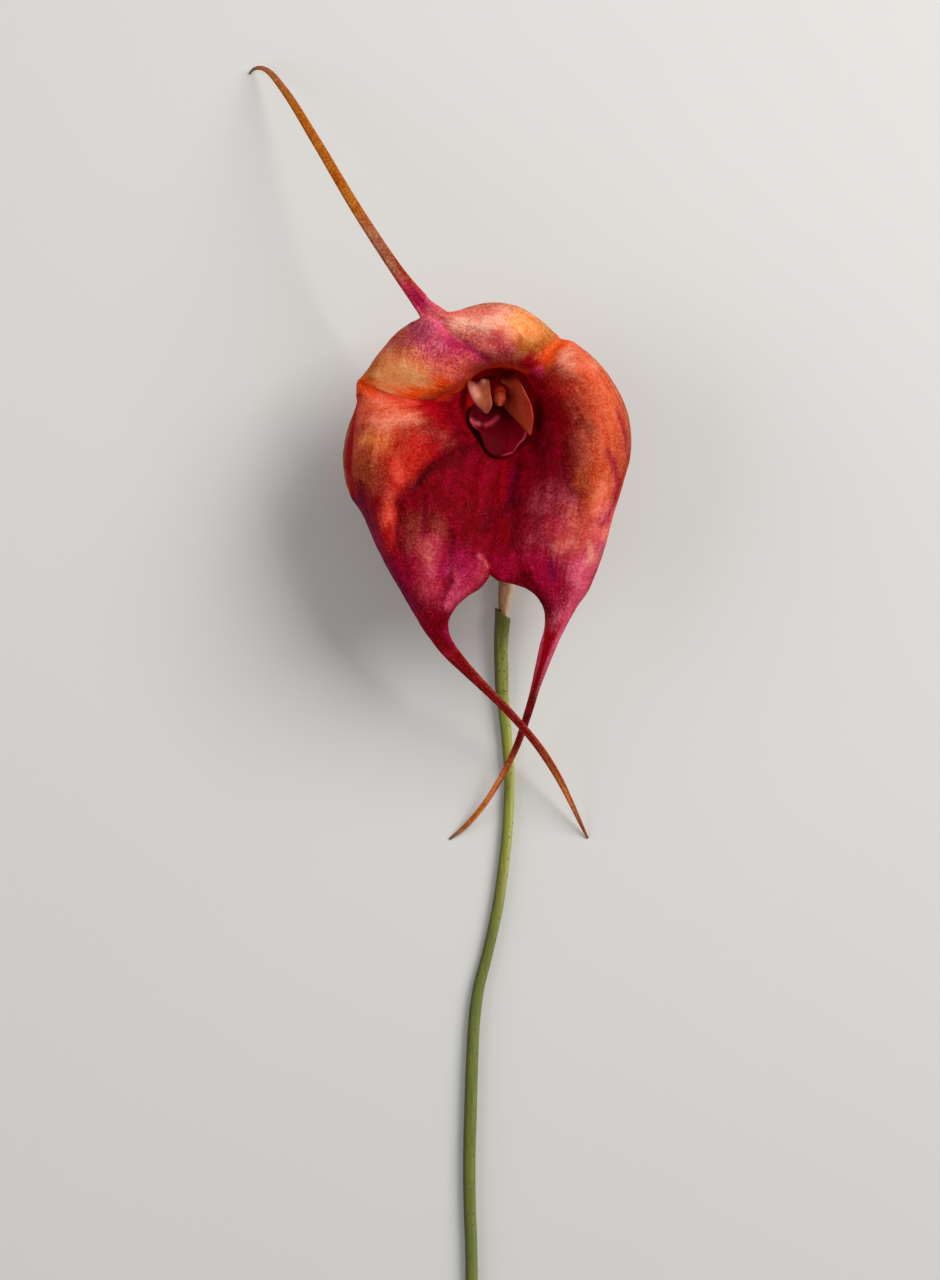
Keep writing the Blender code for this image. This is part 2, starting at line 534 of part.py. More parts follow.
def main():
    for obj in list(bpy.data.objects):
        bpy.data.objects.remove(obj, do_unlink=True)
    add("sepals", calyx())
    add("petal_left", petal((LEFT_PETAL_OUTER, LEFT_PETAL_INNER)))
    add("petal_right", petal((RIGHT_PETAL_INNER, RIGHT_PETAL_OUTER)))
    add("lip", lip())
    add_column()
    add("anther_cap", sweep(*smooth_line(ANTHER_MIDLINE, 8)))
    add("ovary", sweep(*ovary_line(), sides=24, ribs=OVARY_RIBS, rib_depth=OVARY_RIB_DEPTH))
    add("pedicel", sweep(*smooth_line(PEDICEL_LINE, 30), sides=12))
    add("floral_bract", bract())
    add("scape", sweep(*smooth_line(SCAPE_LINE, 50), sides=12))


main()
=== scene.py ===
"""The look of a masdevallia orchid flower on its cut stem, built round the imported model.

Lengths are in metres, +Z is up, and the flower lies face up on the floor of a small studio.
Places are read as stations, (across, down, height): pixels of the 940 by 1280 photograph and
millimetres above the floor. Eye.at turns them into metres, as part.py's own eye does.
"""

from __future__ import annotations

import sys

import logging
import math
from dataclasses import dataclass
from enum import Enum
from typing import Callable, Sequence

import bpy
import numpy as np
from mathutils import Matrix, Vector, noise


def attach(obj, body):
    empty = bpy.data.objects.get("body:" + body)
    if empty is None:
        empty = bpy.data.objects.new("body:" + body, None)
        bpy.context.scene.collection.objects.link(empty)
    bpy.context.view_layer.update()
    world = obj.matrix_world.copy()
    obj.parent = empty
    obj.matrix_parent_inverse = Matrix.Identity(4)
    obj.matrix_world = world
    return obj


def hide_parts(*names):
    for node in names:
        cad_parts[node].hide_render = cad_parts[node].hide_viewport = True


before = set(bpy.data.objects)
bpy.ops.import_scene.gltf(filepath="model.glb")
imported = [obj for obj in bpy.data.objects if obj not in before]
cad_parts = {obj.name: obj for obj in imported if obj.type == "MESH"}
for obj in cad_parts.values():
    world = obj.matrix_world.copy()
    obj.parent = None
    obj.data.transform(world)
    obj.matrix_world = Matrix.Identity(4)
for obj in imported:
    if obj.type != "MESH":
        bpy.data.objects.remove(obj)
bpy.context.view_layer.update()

log = logging.getLogger("masdevallia")
Array = np.ndarray
Stations = Sequence[tuple[float, ...]]
Path = Sequence[tuple[float, float]]
Tree = bpy.types.NodeTree
Node = bpy.types.Node
Input = Node | bpy.types.NodeSocket | float
Coat = Callable[[Array, Array], Array]

MM = 0.001
# Points that fall on the same step of a grid this fine are one point
WELD = 1e-7
# The range that nearly all of a noise pattern lies in
MOST_NOISE = (0.3, 0.7)
# Above 2, a stroke is flatter in its middle and quicker at its edge than a bell curve
STROKE_EDGE = 2.2


class Hue(Enum):
    """The flower's colours, as sRGB hex codes; the lit, peach, hot magenta and glow hues and the pale and
    cream stem hues are painted light.
    """

    # Painted highlight on lit bulges of the sepals and the left petal
    PEACH = "#F6B096"
    LIT_GOLD = "#FFB070"
    GOLD = "#E48A48"
    OCHRE = "#B2641A"
    OLIVE_GOLD = "#A8702C"
    TAN = "#A8674A"
    RUST = "#A0401E"
    FLAME = "#E4540F"
    LIT_FLAME = "#FA6418"
    DEEP_FLAME = "#B42A08"
    LIT_CORAL = "#EE8466"
    CORAL = "#DC5E3E"
    TANGERINE = "#D05834"
    SALMON = "#DA6C5C"
    PINK = "#C8566C"
    LIT_PINK = "#E05C78"
    LIT_ROSE = "#EC6A70"
    MAUVE = "#8F3453"
    MAGENTA = "#A11641"
    PLUM = "#6E0636"
    ROSE = "#BC3446"
    BRICK = "#8E362A"
    SCARLET = "#C8281A"
    LIT_SCARLET = "#E2503A"
    CARMINE = "#A60014"
    CRIMSON = "#9A042E"
    CLARET = "#800014"
    WINE = "#660010"
    WALL_RED = "#920414"
    # Painted glow: bright red that stands in for light deep in the tube, where shade falls
    GLOW = "#F01A14"
    WALL_FLAME = "#DC3A12"
    VIVID_PINK = "#B01A50"
    # Painted highlight on the right crease's inner wall
    HOT_MAGENTA = "#C81460"
    DUSTY_ROSE = "#9C3444"
    MAROON = "#4C0008"
    DUSK = "#5C001E"
    TAIL_RED = "#860C14"
    TIP_GREEN = "#747C56"
    WAX = "#AC5A42"
    WAX_SHADE = "#9C4A2E"
    PETAL_RED = "#B23C1E"
    STEM_DARK = "#4C5620"
    STEM_GREEN = "#7E8634"
    # Painted light on the stem's right flank
    STEM_PALE = "#B0B268"
    STEM_TAN = "#C08C60"
    # Painted light on the pedicel's right flank
    STEM_CREAM = "#E2C8A8"
    STEM_PURPLE = "#5C3430"

    @property
    def rgb(self) -> Array:
        """The colour as linear red, green and blue."""
        return np.array(linear(self.value))


class Sepal(Enum):
    """The three sepals, in the order in which they follow each other clockwise."""

    DORSAL = 0
    RIGHT = 1
    LEFT = 2


class Profile(Enum):
    """The cross section of a stem piece: its number of ribs and their depth."""

    ROUND = (0, 0.0)
    RIBBED = (6, 0.07)


LATERAL = (Sepal.RIGHT, Sepal.LEFT)


def linear(code: str) -> tuple[float, float, float]:
    """Turns an sRGB hex code into linear light.

    Args:
        code: six hex digits after a hash sign.

    Returns:
        Linear red, green and blue, each from 0 to 1.
    """
    parts = [int(code[i : i + 2], 16) / 255 for i in (1, 3, 5)]
    return tuple(c / 12.92 if c <= 0.04045 else ((c + 0.055) / 1.055) ** 2.4 for c in parts)


def feed(tree: Tree, node: Node, inputs: dict) -> None:
    """Sets or links a node's inputs.

    Args:
        tree: the node's tree.
        node: the node.
        inputs: a value, a socket or a node for each input, by name or number.
    """
    for name, value in inputs.items():
        if isinstance(value, bpy.types.Node):
            value = value.outputs[0]
        if isinstance(value, bpy.types.NodeSocket):
            tree.links.new(value, node.inputs[name])
        else:
            node.inputs[name].default_value = value


def put(tree: Tree, kind: str, inputs: dict | None = None, **settings) -> Node:
    """Adds a node to a tree.

    Args:
        tree: the tree it goes in.
        kind: the node's type name.
        inputs: its inputs, as feed takes them.
        settings: the node's own properties.

    Returns:
        The new node.
    """
    node = tree.nodes.new(kind)
    for name, value in settings.items():
        setattr(node, name, value)
    feed(tree, node, inputs or {})
    return node


def maths(tree: Tree, operation: str, *values: Input) -> Node:
    """Adds a node that works on numbers."""
    return put(tree, "ShaderNodeMath", dict(enumerate(values)), operation=operation)


def remap(tree: Tree, value: Input, given: tuple[float, float], wanted: tuple[float, float]) -> Node:
    """Adds a node that maps one range of a value onto another."""
    names = ("Value", "From Min", "From Max", "To Min", "To Max")
    return put(tree, "ShaderNodeMapRange", dict(zip(names, (value, *given, *wanted))))


def mix(tree: Tree, share: Input, under: Input, hue: Hue) -> bpy.types.NodeSocket:
    """Adds a node that lays a colour over another."""
    inputs = {0: share, 6: under, 7: (*hue.rgb, 1.0)}
    return put(tree, "ShaderNodeMix", inputs, data_type="RGBA").outputs[2]


def attribute(tree: Tree, name: str, output: str) -> bpy.types.NodeSocket:
    """Adds a node that reads what carry stored."""
    return put(tree, "ShaderNodeAttribute", attribute_name=name).outputs[output]


def scale_of(size_mm: float) -> float:
    """A pattern's scale for lumps of this many millimetres."""
    return 1 / (size_mm * MM)


def unit(vectors: Array) -> Array:
    """Vectors scaled to length one."""
    return vectors / np.maximum(np.linalg.norm(vectors, axis=-1, keepdims=True), 1e-12)


def ramp(x: Array, start: float | Array, end: float | Array) -> Array:
    """A soft step from 0 at start to 1 at end, which may lie below start."""
    f = np.clip((x - start) / (end - start), 0.0, 1.0)
    return f * f * (3 - 2 * f)


def bell(x: Array, middle: float, reach: float) -> Array:
    """A bell curve, 1 at the middle."""
    return np.exp(-(((x - middle) / reach) ** 2))


def cubic(start: Array, end: Array, leave: Array, arrive: Array, f: Array | float) -> Array:
    """The curve from start to end that leaves and arrives with these slopes, at f from 0 to 1."""
    rise = start * (1 + 2 * f) * (1 - f) ** 2 + end * f * f * (3 - 2 * f)
    return rise + leave * f * (1 - f) ** 2 + arrive * f * f * (f - 1)


def spline(knots: Sequence[float], values: Array, x: Array) -> Array:
    """A smooth curve through values at knots, with slopes taken from both neighbours.

    Args:
        knots: rising numbers, one for each value.
        values: the rows that the curve goes through.
        x: where to read the curve.

    Returns:
        One row for each number in x.
    """
    knots = np.asarray(knots, float)
    values = np.asarray(values, float)
    step = np.diff(knots)
    slope = np.diff(values, axis=0) / step[:, None]
    before, after = step[:-1, None], step[1:, None]
    inner = (slope[:-1] * after + slope[1:] * before) / (before + after)
    tangent = np.concatenate([slope[:1], inner, slope[-1:]])
    i = np.clip(np.searchsorted(knots, x, side="right") - 1, 0, len(step) - 1)
    f = ((x - knots[i]) / step[i])[:, None]
    h = step[i][:, None]
    return cubic(values[i], values[i + 1], tangent[i] * h, tangent[i + 1] * h, f)


def side_and_up(line: Array) -> tuple[Array, Array]:
    """The directions across a line.

    Args:
        line: points along it.

    Returns:
        Unit vectors level to the side of each point, and up from it.
    """
    heading = unit(np.gradient(line, axis=0))
    side = unit(np.cross(heading, [0.0, 0.0, 1.0]))
    return side, np.cross(side, heading)


def speckle(points: Array, size: float, seed: float) -> Array:
    """Smooth noise from about -1 to 1.

    Args:
        points: where to read it.
        size: the size of its lumps, in the points' own unit.
        seed: moves the pattern.

    Returns:
        One number for each point.
    """
    shift = Vector((seed, -seed, 2 * seed))
    return np.array([noise.noise(Vector(p) + shift) for p in points / size])


def over(ground: Array, hue: Hue | Array, amount: Array) -> Array:
    """Lays a colour over a ground.

    Args:
        ground: linear colours, one row for each point, or one colour.
        hue: the colour that goes over it, or one for each point.
        amount: how much it covers each point, from 0 to 1.

    Returns:
        The mixed colours.
    """
    colour = hue.rgb if isinstance(hue, Hue) else hue
    return ground + (colour - ground) * amount[:, None]


@dataclass(frozen=True)
class Eye:
    """The photograph's eye, straight above the floor."""

    face_width: float = 0.060
    face_width_px: float = 289.0
    face_height: float = 0.030
    height: float = 0.768
    place: tuple[float, float] = (0.00706, 0.01959)
    centre_px: tuple[float, float] = (470.0, 640.0)

    def scale(self, heights: Array) -> Array:
        """Metres for one pixel at these heights."""
        wide = self.face_width / self.face_width_px
        return wide * (self.height - heights) / (self.height - self.face_height)

    def at(self, stations: Stations) -> Array:
        """Turns stations into points.

        Args:
            stations: rows of across and down in pixels and height in millimetres.

        Returns:
            Rows of x, y and z in metres.
        """
        rows = np.asarray([station[:3] for station in stations], float)
        heights = rows[:, 2] * MM
        scale = self.scale(heights)
        x = self.place[0] + (rows[:, 0] - self.centre_px[0]) * scale
        y = self.place[1] - (rows[:, 1] - self.centre_px[1]) * scale
        return np.stack([x, y, heights], axis=1)

    def seen(self, points: Array) -> Array:
        """Where points show in the photograph.

        Args:
            points: rows of x, y and z in metres.

        Returns:
            Rows of across and down in pixels.
        """
        scale = self.scale(points[:, 2])
        across = self.centre_px[0] + (points[:, 0] - self.place[0]) / scale
        down = self.centre_px[1] - (points[:, 1] - self.place[1]) / scale
        return np.stack([across, down], axis=1)


EYE = Eye()


def nearness(places: Array, path: Path, reach: float) -> Array:
    """How near places lie to a broken line, from 1 on it to 0 far away.

    Args:
        places: pixels, one row each.
        path: the line's corners in pixels; one corner is a spot.
        reach: the distance at which the nearness has fallen to about a third.

    Returns:
        One number for each place.
    """
    corners = np.asarray(path if len(path) > 1 else (path[0], path[0]), float)
    best = np.full(len(places), np.inf)
    for start, end in zip(corners[:-1], corners[1:]):
        run = end - start
        f = np.clip((places - start) @ run / max(run @ run, 1e-9), 0, 1)
        best = np.minimum(best, np.linalg.norm(places - start - f[:, None] * run, axis=1))
    return np.exp(-((best / reach) ** STROKE_EDGE))


def lay(stations: Stations, count: int) -> Array:
    """A smooth line through stations.

    Args:
        stations: rows of across, down, height and radius.
        count: how many points to set along it, evenly spaced.

    Returns:
        Rows of x, y, z and radius in metres.
    """
    points = EYE.at(stations)
    run = np.concatenate([[0], np.cumsum(np.linalg.norm(np.diff(points, axis=0), axis=1))])
    radii = np.array([[station[3] * MM] for station in stations])
    return spline(run, np.concatenate([points, radii], axis=1), np.linspace(0, run[-1], count))


@dataclass(frozen=True)
class Wash:
    """A soft stroke: of colour, or of a mark where it has no hue."""

    hue: Hue | None
    reach: float
    strength: float
    path: Path
    on: tuple[Sepal, ...] = tuple(Sepal)

    def cover(self, places: Array) -> Array:
        """How much of it lies on each place in the photograph."""
        return self.strength * nearness(places, self.path, self.reach)

    def is_on(self, sepal: Array) -> Array:
        """Which points lie on one of its sepals."""
        return np.isin(sepal, [which.value for which in self.on])


@dataclass(frozen=True)
class Fold:
    """A soft ridge, or a valley where its height in millimetres is negative."""

    height: float
    reach: float
    path: Path


@dataclass(frozen=True)
class Lumps:
    """Smooth unevenness: its depth and the size of its lumps in millimetres, and its seed."""

    depth: float
    size: float
    seed: float

    def at(self, points: Array) -> Array:
        """Its height at these points, in metres."""
        return self.depth * MM * speckle(points, self.size * MM, self.seed)


D, R, L = (Sepal.DORSAL,), (Sepal.RIGHT,), (Sepal.LEFT,)

# Strokes of the flower's colours, with painted highlights in the lit and peach strokes and painted shade in
# some dark ones
WASHES = (
    # Dorsal sepal: gold lobes, a pink middle and a magenta streak down to the throat
    Wash(Hue.SALMON, 30, 0.9, ((450, 345), (500, 335)), D),
    Wash(Hue.GOLD, 25, 1.0, ((380, 388), (398, 374), (418, 380)), D),
    Wash(Hue.LIT_GOLD, 12, 0.6, ((384, 384), (412, 378), (428, 378)), D),
    Wash(Hue.OCHRE, 9, 0.75, ((373, 366), (364, 380)), D),
    Wash(Hue.LIT_GOLD, 11, 0.95, ((384, 384), (398, 390), (416, 384), (402, 372)), D),
    Wash(Hue.RUST, 7, 0.8, ((366, 366), (377, 351), (392, 336), (410, 325)), D),
    Wash(Hue.BRICK, 12, 0.7, ((401, 343), (412, 338)), D),
    Wash(Hue.PINK, 20, 0.85, ((432, 332), (440, 350), (452, 362)), D),
    Wash(Hue.MAUVE, 7, 0.7, ((416, 328), (426, 330), (422, 338)), D),
    Wash(Hue.LIT_PINK, 6, 0.85, ((436, 322), (445, 338), (453, 352)), D),
    Wash(Hue.CORAL, 13, 0.7, ((440, 372), (462, 365)), D),
    Wash(Hue.SALMON, 9, 0.9, ((458, 330), (485, 330), (505, 338)), D),
    # Painted highlights on the crest of the dorsal lobes
    Wash(Hue.PEACH, 8, 0.8, ((458, 325), (485, 325), (508, 316), (510, 328)), D),
    Wash(Hue.PEACH, 3.5, 1.0, ((455, 324), (464, 325)), D),
    Wash(Hue.PEACH, 4, 1.0, ((485, 324), (494, 326), (507, 322)), D),
    Wash(Hue.TAN, 5, 0.65, ((468, 306), (488, 304), (508, 305), (524, 311)), D),
    Wash(Hue.GOLD, 17, 0.95, ((522, 322), (534, 330), (530, 343)), D),
    Wash(Hue.LIT_GOLD, 6, 0.7, ((517, 322), (519, 332)), D),
    Wash(Hue.OCHRE, 8, 0.85, ((521, 346), (535, 348), (548, 340)), D),
    Wash(Hue.OLIVE_GOLD, 5, 0.6, ((541, 322), (552, 333)), D),
    Wash(Hue.ROSE, 9, 0.6, ((494, 342), (508, 350)), D),
    Wash(Hue.VIVID_PINK, 6, 0.9, ((449, 341), (470, 351), (488, 361)), D),
    Wash(Hue.MAUVE, 4, 0.5, ((465, 347), (480, 352)), D),
    # Painted shade on the tan underside of the dorsal sepal's overhanging rim
    Wash(Hue.RUST, 6, 0.8, ((470, 370), (484, 368)), D),
    Wash(Hue.CARMINE, 7, 0.9, ((490, 367), (505, 367), (530, 362)), D),
    Wash(Hue.CARMINE, 8, 0.8, ((528, 358), (540, 362)), D),
    Wash(Hue.FLAME, 7, 0.95, ((362, 382), (374, 390)), D),
    Wash(Hue.LIT_FLAME, 8, 0.95, ((404, 396), (424, 391), (446, 383)), D),
    Wash(Hue.WALL_FLAME, 9, 0.9, ((440, 393), (458, 388), (472, 377)), D),
    # Right lateral sepal: an orange shoulder, a crimson throat and a pink foot
    Wash(Hue.CRIMSON, 26, 0.8, ((540, 560), (565, 590)), R),
    Wash(Hue.TANGERINE, 26, 1.0, ((578, 352), (598, 385), (608, 420), (603, 455), (596, 500)), R),
    Wash(Hue.ROSE, 18, 0.9, ((590, 530), (580, 565)), R),
    Wash(Hue.CORAL, 9, 0.6, ((585, 395), (600, 425), (598, 450)), R),
    # Painted highlight on the right shoulder
    Wash(Hue.PEACH, 8, 0.6, ((565, 349), (567, 364)), R),
    Wash(Hue.LIT_CORAL, 6, 0.6, ((563, 372), (578, 369), (590, 367)), R),
    Wash(Hue.SCARLET, 12, 0.7, ((553, 382), (568, 392)), R),
    Wash(Hue.CARMINE, 12, 0.8, ((548, 400), (562, 420), (566, 445)), R),
    Wash(Hue.BRICK, 9, 0.45, ((572, 400), (578, 425), (588, 432)), R),
    # The throat's right wall: its own claret and wine, darkened with painted shade where it faces away from
    # the key light
    Wash(Hue.CLARET, 20, 0.95, ((528, 392), (543, 420), (549, 455), (553, 480)), R),
    Wash(Hue.WINE, 11, 0.9, ((533, 398), (540, 430), (545, 460)), R),
    Wash(Hue.BRICK, 8, 0.5, ((574, 440), (584, 462)), R),
    Wash(Hue.WINE, 7, 0.7, ((566, 450), (566, 480), (574, 496)), R),
    Wash(Hue.RUST, 7, 0.6, ((584, 478), (586, 492)), R),
    Wash(Hue.LIT_CORAL, 5, 0.8, ((603, 484), (598, 500), (594, 512)), R),
    Wash(Hue.DUSTY_ROSE, 13, 0.8, ((540, 508), (556, 494), (572, 506), (535, 545)), R),
    Wash(Hue.CORAL, 13, 0.6, ((575, 520), (588, 532)), R),
    Wash(Hue.LIT_ROSE, 10, 0.7, ((608, 512), (602, 535), (598, 560)), R),
    Wash(Hue.ROSE, 14, 0.8, ((552, 530), (560, 548)), R),
    Wash(Hue.SALMON, 9, 0.7, ((560, 545), (575, 545)), R),
    # Painted highlight on the right outer ridge
    Wash(Hue.PEACH, 3.5, 0.6, ((588, 545), (590, 556), (584, 564)), R),
    Wash(Hue.LIT_PINK, 11, 0.9, ((577, 568), (579, 588), (568, 604), (560, 628)), R),
    Wash(Hue.SALMON, 5, 0.8, ((600, 528), (606, 536)), R),
    Wash(Hue.CRIMSON, 2.6, 0.85, ((616, 414), (624, 436), (627, 452)), R),
    Wash(Hue.CRIMSON, 3.0, 0.85, ((607, 450), (612, 464), (617, 482), (611, 508), (601, 524)), R),
    Wash(Hue.MAUVE, 3.4, 0.6, ((599, 545), (602, 556), (596, 572)), R),
    Wash(Hue.TAN, 4.5, 0.9, ((588, 350), (606, 368), (622, 394), (631, 422), (631, 446)), R),
    Wash(Hue.CRIMSON, 12, 0.85, ((532, 556), (552, 572), (560, 596)), R),
    Wash(Hue.PLUM, 4, 0.7, ((551, 563), (553, 578)), R),
    # Painted shade where the margin beside the notch rolls back, away from the light
    Wash(Hue.WINE, 8, 0.85, ((519, 575), (536, 590), (547, 610)), R),
    # Left lateral sepal: a coral shoulder, a scarlet slope and a crimson foot
    Wash(Hue.CRIMSON, 26, 0.7, ((420, 560), (440, 590)), L),
    Wash(Hue.CORAL, 24, 1.0, ((370, 405), (392, 415), (380, 440)), L),
    Wash(Hue.RUST, 14, 0.7, ((366, 456), (370, 478)), L),
    Wash(Hue.SCARLET, 15, 0.95, ((412, 410), (420, 440), (408, 462), (394, 490)), L),
    Wash(Hue.CORAL, 8, 0.75, ((400, 410), (418, 418)), L),
    Wash(Hue.LIT_CORAL, 5.5, 0.9, ((374, 423), (395, 422), (416, 419)), L),
    Wash(Hue.LIT_CORAL, 6, 0.5, ((380, 402), (396, 412)), L),
    Wash(Hue.GOLD, 8, 0.55, ((368, 440), (382, 444), (376, 436)), L),
    Wash(Hue.DEEP_FLAME, 8, 0.7, ((396, 446), (386, 456)), L),
    Wash(Hue.BRICK, 7, 0.6, ((380, 480), (384, 494)), L),
    Wash(Hue.SCARLET, 9, 0.6, ((392, 515), (388, 545)), L),
    Wash(Hue.LIT_SCARLET, 7, 0.8, ((395, 462), (403, 478)), L),
    Wash(Hue.LIT_SCARLET, 6, 0.75, ((392, 496), (387, 520)), L),
    Wash(Hue.CARMINE, 13, 0.9, ((424, 402), (438, 416), (440, 440), (428, 456)), L),
    Wash(Hue.SCARLET, 6, 0.7, ((428, 452), (416, 468), (406, 482)), L),
    Wash(Hue.BRICK, 8, 0.6, ((424, 428), (450, 444)), L),
    # The left throat by the mouth: its own wine red, partly painted shade between the petal and the lip
    Wash(Hue.WINE, 15, 0.95, ((452, 402), (464, 424), (474, 440)), L),
    # Painted shade on the shadow side of the fold edge below the left shoulder
    Wash(Hue.MAROON, 7, 0.9, ((464, 455), (440, 462), (426, 472), (412, 490)), L),
    Wash(Hue.TAN, 3.6, 0.85, ((352, 418), (346, 440), (345, 465), (349, 488)), L),
    Wash(Hue.CARMINE, 3.4, 0.85, ((358, 396), (355, 428), (352, 450), (351, 476), (355, 494)), L),
    Wash(Hue.RUST, 5, 0.7, ((361, 460), (360, 476)), L),
    Wash(Hue.WINE, 5, 0.7, ((362, 484), (364, 498)), L),
    # The left outer margin's own purple, deepened with painted shade where it turns away from the light
    Wash(Hue.PLUM, 7.5, 0.85, ((357, 503), (368, 524), (380, 552), (396, 580), (412, 606)), L),
    Wash(Hue.CLARET, 12, 0.85, ((402, 500), (424, 506), (448, 500)), L),
    Wash(Hue.WINE, 4.5, 0.8, ((400, 506), (397, 528), (399, 545)), L),
    Wash(Hue.BRICK, 8, 0.85, ((413, 520), (413, 546)), L),
    Wash(Hue.WINE, 4, 0.7, ((425, 506), (422, 530)), L),
    Wash(Hue.ROSE, 13, 0.9, ((430, 545), (432, 568), (430, 592)), L),
    Wash(Hue.SALMON, 5, 0.5, ((425, 548), (430, 562)), L),
    Wash(Hue.BRICK, 8, 0.7, ((436, 520), (440, 532)), L),
    Wash(Hue.ROSE, 10, 0.85, ((466, 582), (480, 570)), L),
    Wash(Hue.VIVID_PINK, 12, 0.75, ((446, 566), (460, 554), (470, 562), (452, 596)), L),
    Wash(Hue.LIT_PINK, 3.5, 0.6, ((454, 568), (457, 582), (447, 606)), L),
    Wash(Hue.WINE, 4, 0.7, ((447, 526), (452, 548), (451, 580), (444, 596)), L),
    Wash(Hue.LIT_PINK, 5, 0.5, ((462, 592), (450, 604)), L),
    # Ventral valley, across both lateral sepals
    Wash(Hue.CLARET, 28, 0.9, ((470, 472), (490, 500), (496, 528)), LATERAL),
    Wash(Hue.CLARET, 12, 0.7, ((462, 500), (470, 535), (478, 548)), LATERAL),
    Wash(Hue.CARMINE, 5, 0.6, ((506, 452), (504, 480), (503, 510), (508, 540)), LATERAL),
    Wash(Hue.DUSK, 6, 0.75, ((518, 468), (512, 496), (505, 514)), LATERAL),
    Wash(Hue.WINE, 10, 0.85, ((505, 444), (480, 444), (456, 458)), LATERAL),
    Wash(Hue.MAROON, 6, 0.7, ((484, 530), (490, 514)), LATERAL),
    Wash(Hue.MAROON, 5, 0.7, ((520, 500), (508, 512), (514, 545)), LATERAL),
    Wash(Hue.CRIMSON, 9, 0.75, ((498, 562), (516, 560), (504, 574)), LATERAL),
    Wash(Hue.LIT_ROSE, 1.6, 0.5, ((478, 557), (484, 561), (488, 568)), LATERAL),
    # Creases where the dorsal sepal meets the lateral ones
    Wash(Hue.FLAME, 8, 0.95, ((564, 343), (553, 350), (546, 362), (540, 368)), (Sepal.DORSAL, Sepal.RIGHT)),
    Wash(Hue.CARMINE, 8, 0.85, ((533, 362), (522, 372), (520, 384)), (Sepal.DORSAL, Sepal.RIGHT)),
    # Painted highlight on the crease's inner wall
    Wash(Hue.HOT_MAGENTA, 5.5, 1.0, ((531, 377), (541, 370)), (Sepal.DORSAL, Sepal.RIGHT)),
    Wash(Hue.FLAME, 6, 0.8, ((362, 386), (372, 393)), L),
    Wash(Hue.WALL_FLAME, 5, 0.9, ((438, 397), (452, 394), (464, 388)), L),
    Wash(Hue.LIT_SCARLET, 6, 0.7, ((394, 400), (414, 402)), L),
)

FOLDS = (
    Fold(0.55, 7, ((364, 425), (385, 421), (405, 420), (424, 414))),
    Fold(-0.45, 3.5, ((364, 386), (376, 392), (388, 398), (398, 400))),
    Fold(0.3, 7, ((408, 395), (430, 391), (450, 384))),
    Fold(0.22, 2.6, ((362, 411), (386, 408), (410, 405))),
    Fold(0.22, 2.6, ((368, 434), (392, 431), (418, 424))),
    Fold(-0.8, 9, ((468, 450), (446, 458), (424, 474), (408, 494), (399, 520))),
    Fold(0.6, 10, ((432, 446), (412, 464), (397, 486), (386, 512), (387, 536))),
    Fold(-0.3, 4, ((399, 505), (400, 546), (408, 580))),
    Fold(0.3, 6, ((412, 512), (413, 556))),
    Fold(-0.35, 4, ((425, 500), (422, 535), (419, 575))),
    Fold(0.65, 11, ((436, 520), (432, 556), (431, 592))),
    Fold(-0.45, 5, ((448, 520), (453, 550), (455, 575), (450, 590))),
    Fold(-0.35, 3, ((356, 400), (353, 440), (351, 466), (354, 492))),
    Fold(0.3, 5, ((362, 440), (360, 470))),
    Fold(-0.4, 6, ((366, 470), (366, 500))),
    Fold(0.3, 2.5, ((477, 556), (484, 561), (489, 571))),
    Fold(-0.25, 6, ((485, 470), (484, 530))),
    Fold(0.2, 5, ((503, 470), (504, 530))),
    Fold(-0.3, 5, ((517, 460), (511, 505), (517, 545), (519, 574))),
    Fold(0.5, 12, ((570, 350), (592, 380), (606, 415), (604, 455), (597, 500), (592, 545), (580, 585))),
    Fold(-0.6, 10, ((548, 400), (560, 435), (566, 470), (570, 494))),
    Fold(-0.4, 6, ((578, 426), (588, 430))),
    Fold(0.55, 13, ((545, 512), (558, 540), (568, 560))),
    Fold(-0.35, 3, ((617, 416), (624, 440), (614, 466), (616, 486), (608, 512), (600, 530))),
    Fold(-0.3, 4, ((546, 545), (553, 578))),
    Fold(-0.45, 5, ((493, 362), (475, 352), (456, 338), (443, 325), (430, 310))),
    Fold(0.25, 4, ((437, 330), (446, 343), (456, 353))),
    Fold(0.45, 20, ((392, 375), (410, 372))),
    Fold(0.45, 18, ((500, 322), (530, 332))),
    Fold(-0.4, 5, ((560, 341), (550, 352), (541, 366))),
)

# Where the worm-like net, the pale dots and the papillae show; the dots and papillae are partly their own
# paleness and partly painted glints
NET = (
    Wash(None, 20, 0.95, ((425, 345), (455, 360), (470, 345)), D),
    Wash(None, 12, 0.475, ((490, 345), (510, 352)), D),
)
DOTS = (
    Wash(None, 16, 0.8, ((590, 540), (580, 575), (565, 605), (556, 630)), R),
    Wash(None, 40, 0.15, ((420, 500), (450, 510), (480, 500)), LATERAL),
)
PAPILLAE = (
    Wash(None, 34, 0.6, ((425, 500), (450, 520), (470, 560)), LATERAL),
    Wash(None, 20, 1.0, ((585, 545), (575, 580), (558, 625)), R),
)


@dataclass(frozen=True)
class SepalForm:
    """One sepal: the angles of its veins round the tube, their stations and its tail."""

    angles: tuple[float, ...]
    veins: tuple
    tail: tuple[tuple[float, ...], ...]
    free_from: tuple[float, float]
    tail_hues: tuple[tuple[float, Hue, Hue], ...]
    lit_edge: int

    def tail_colour(self, s: Array, column: int) -> Array:
        """A tail's linear colours at the levels s: column 1 of its hues is its middle, 2 its edge, with
        painted light on the lit edge.
        """
        hues = np.array([row[column].rgb for row in self.tail_hues])
        return np.stack([np.interp(s, [row[0] for row in self.tail_hues], line) for line in hues.T], axis=1)


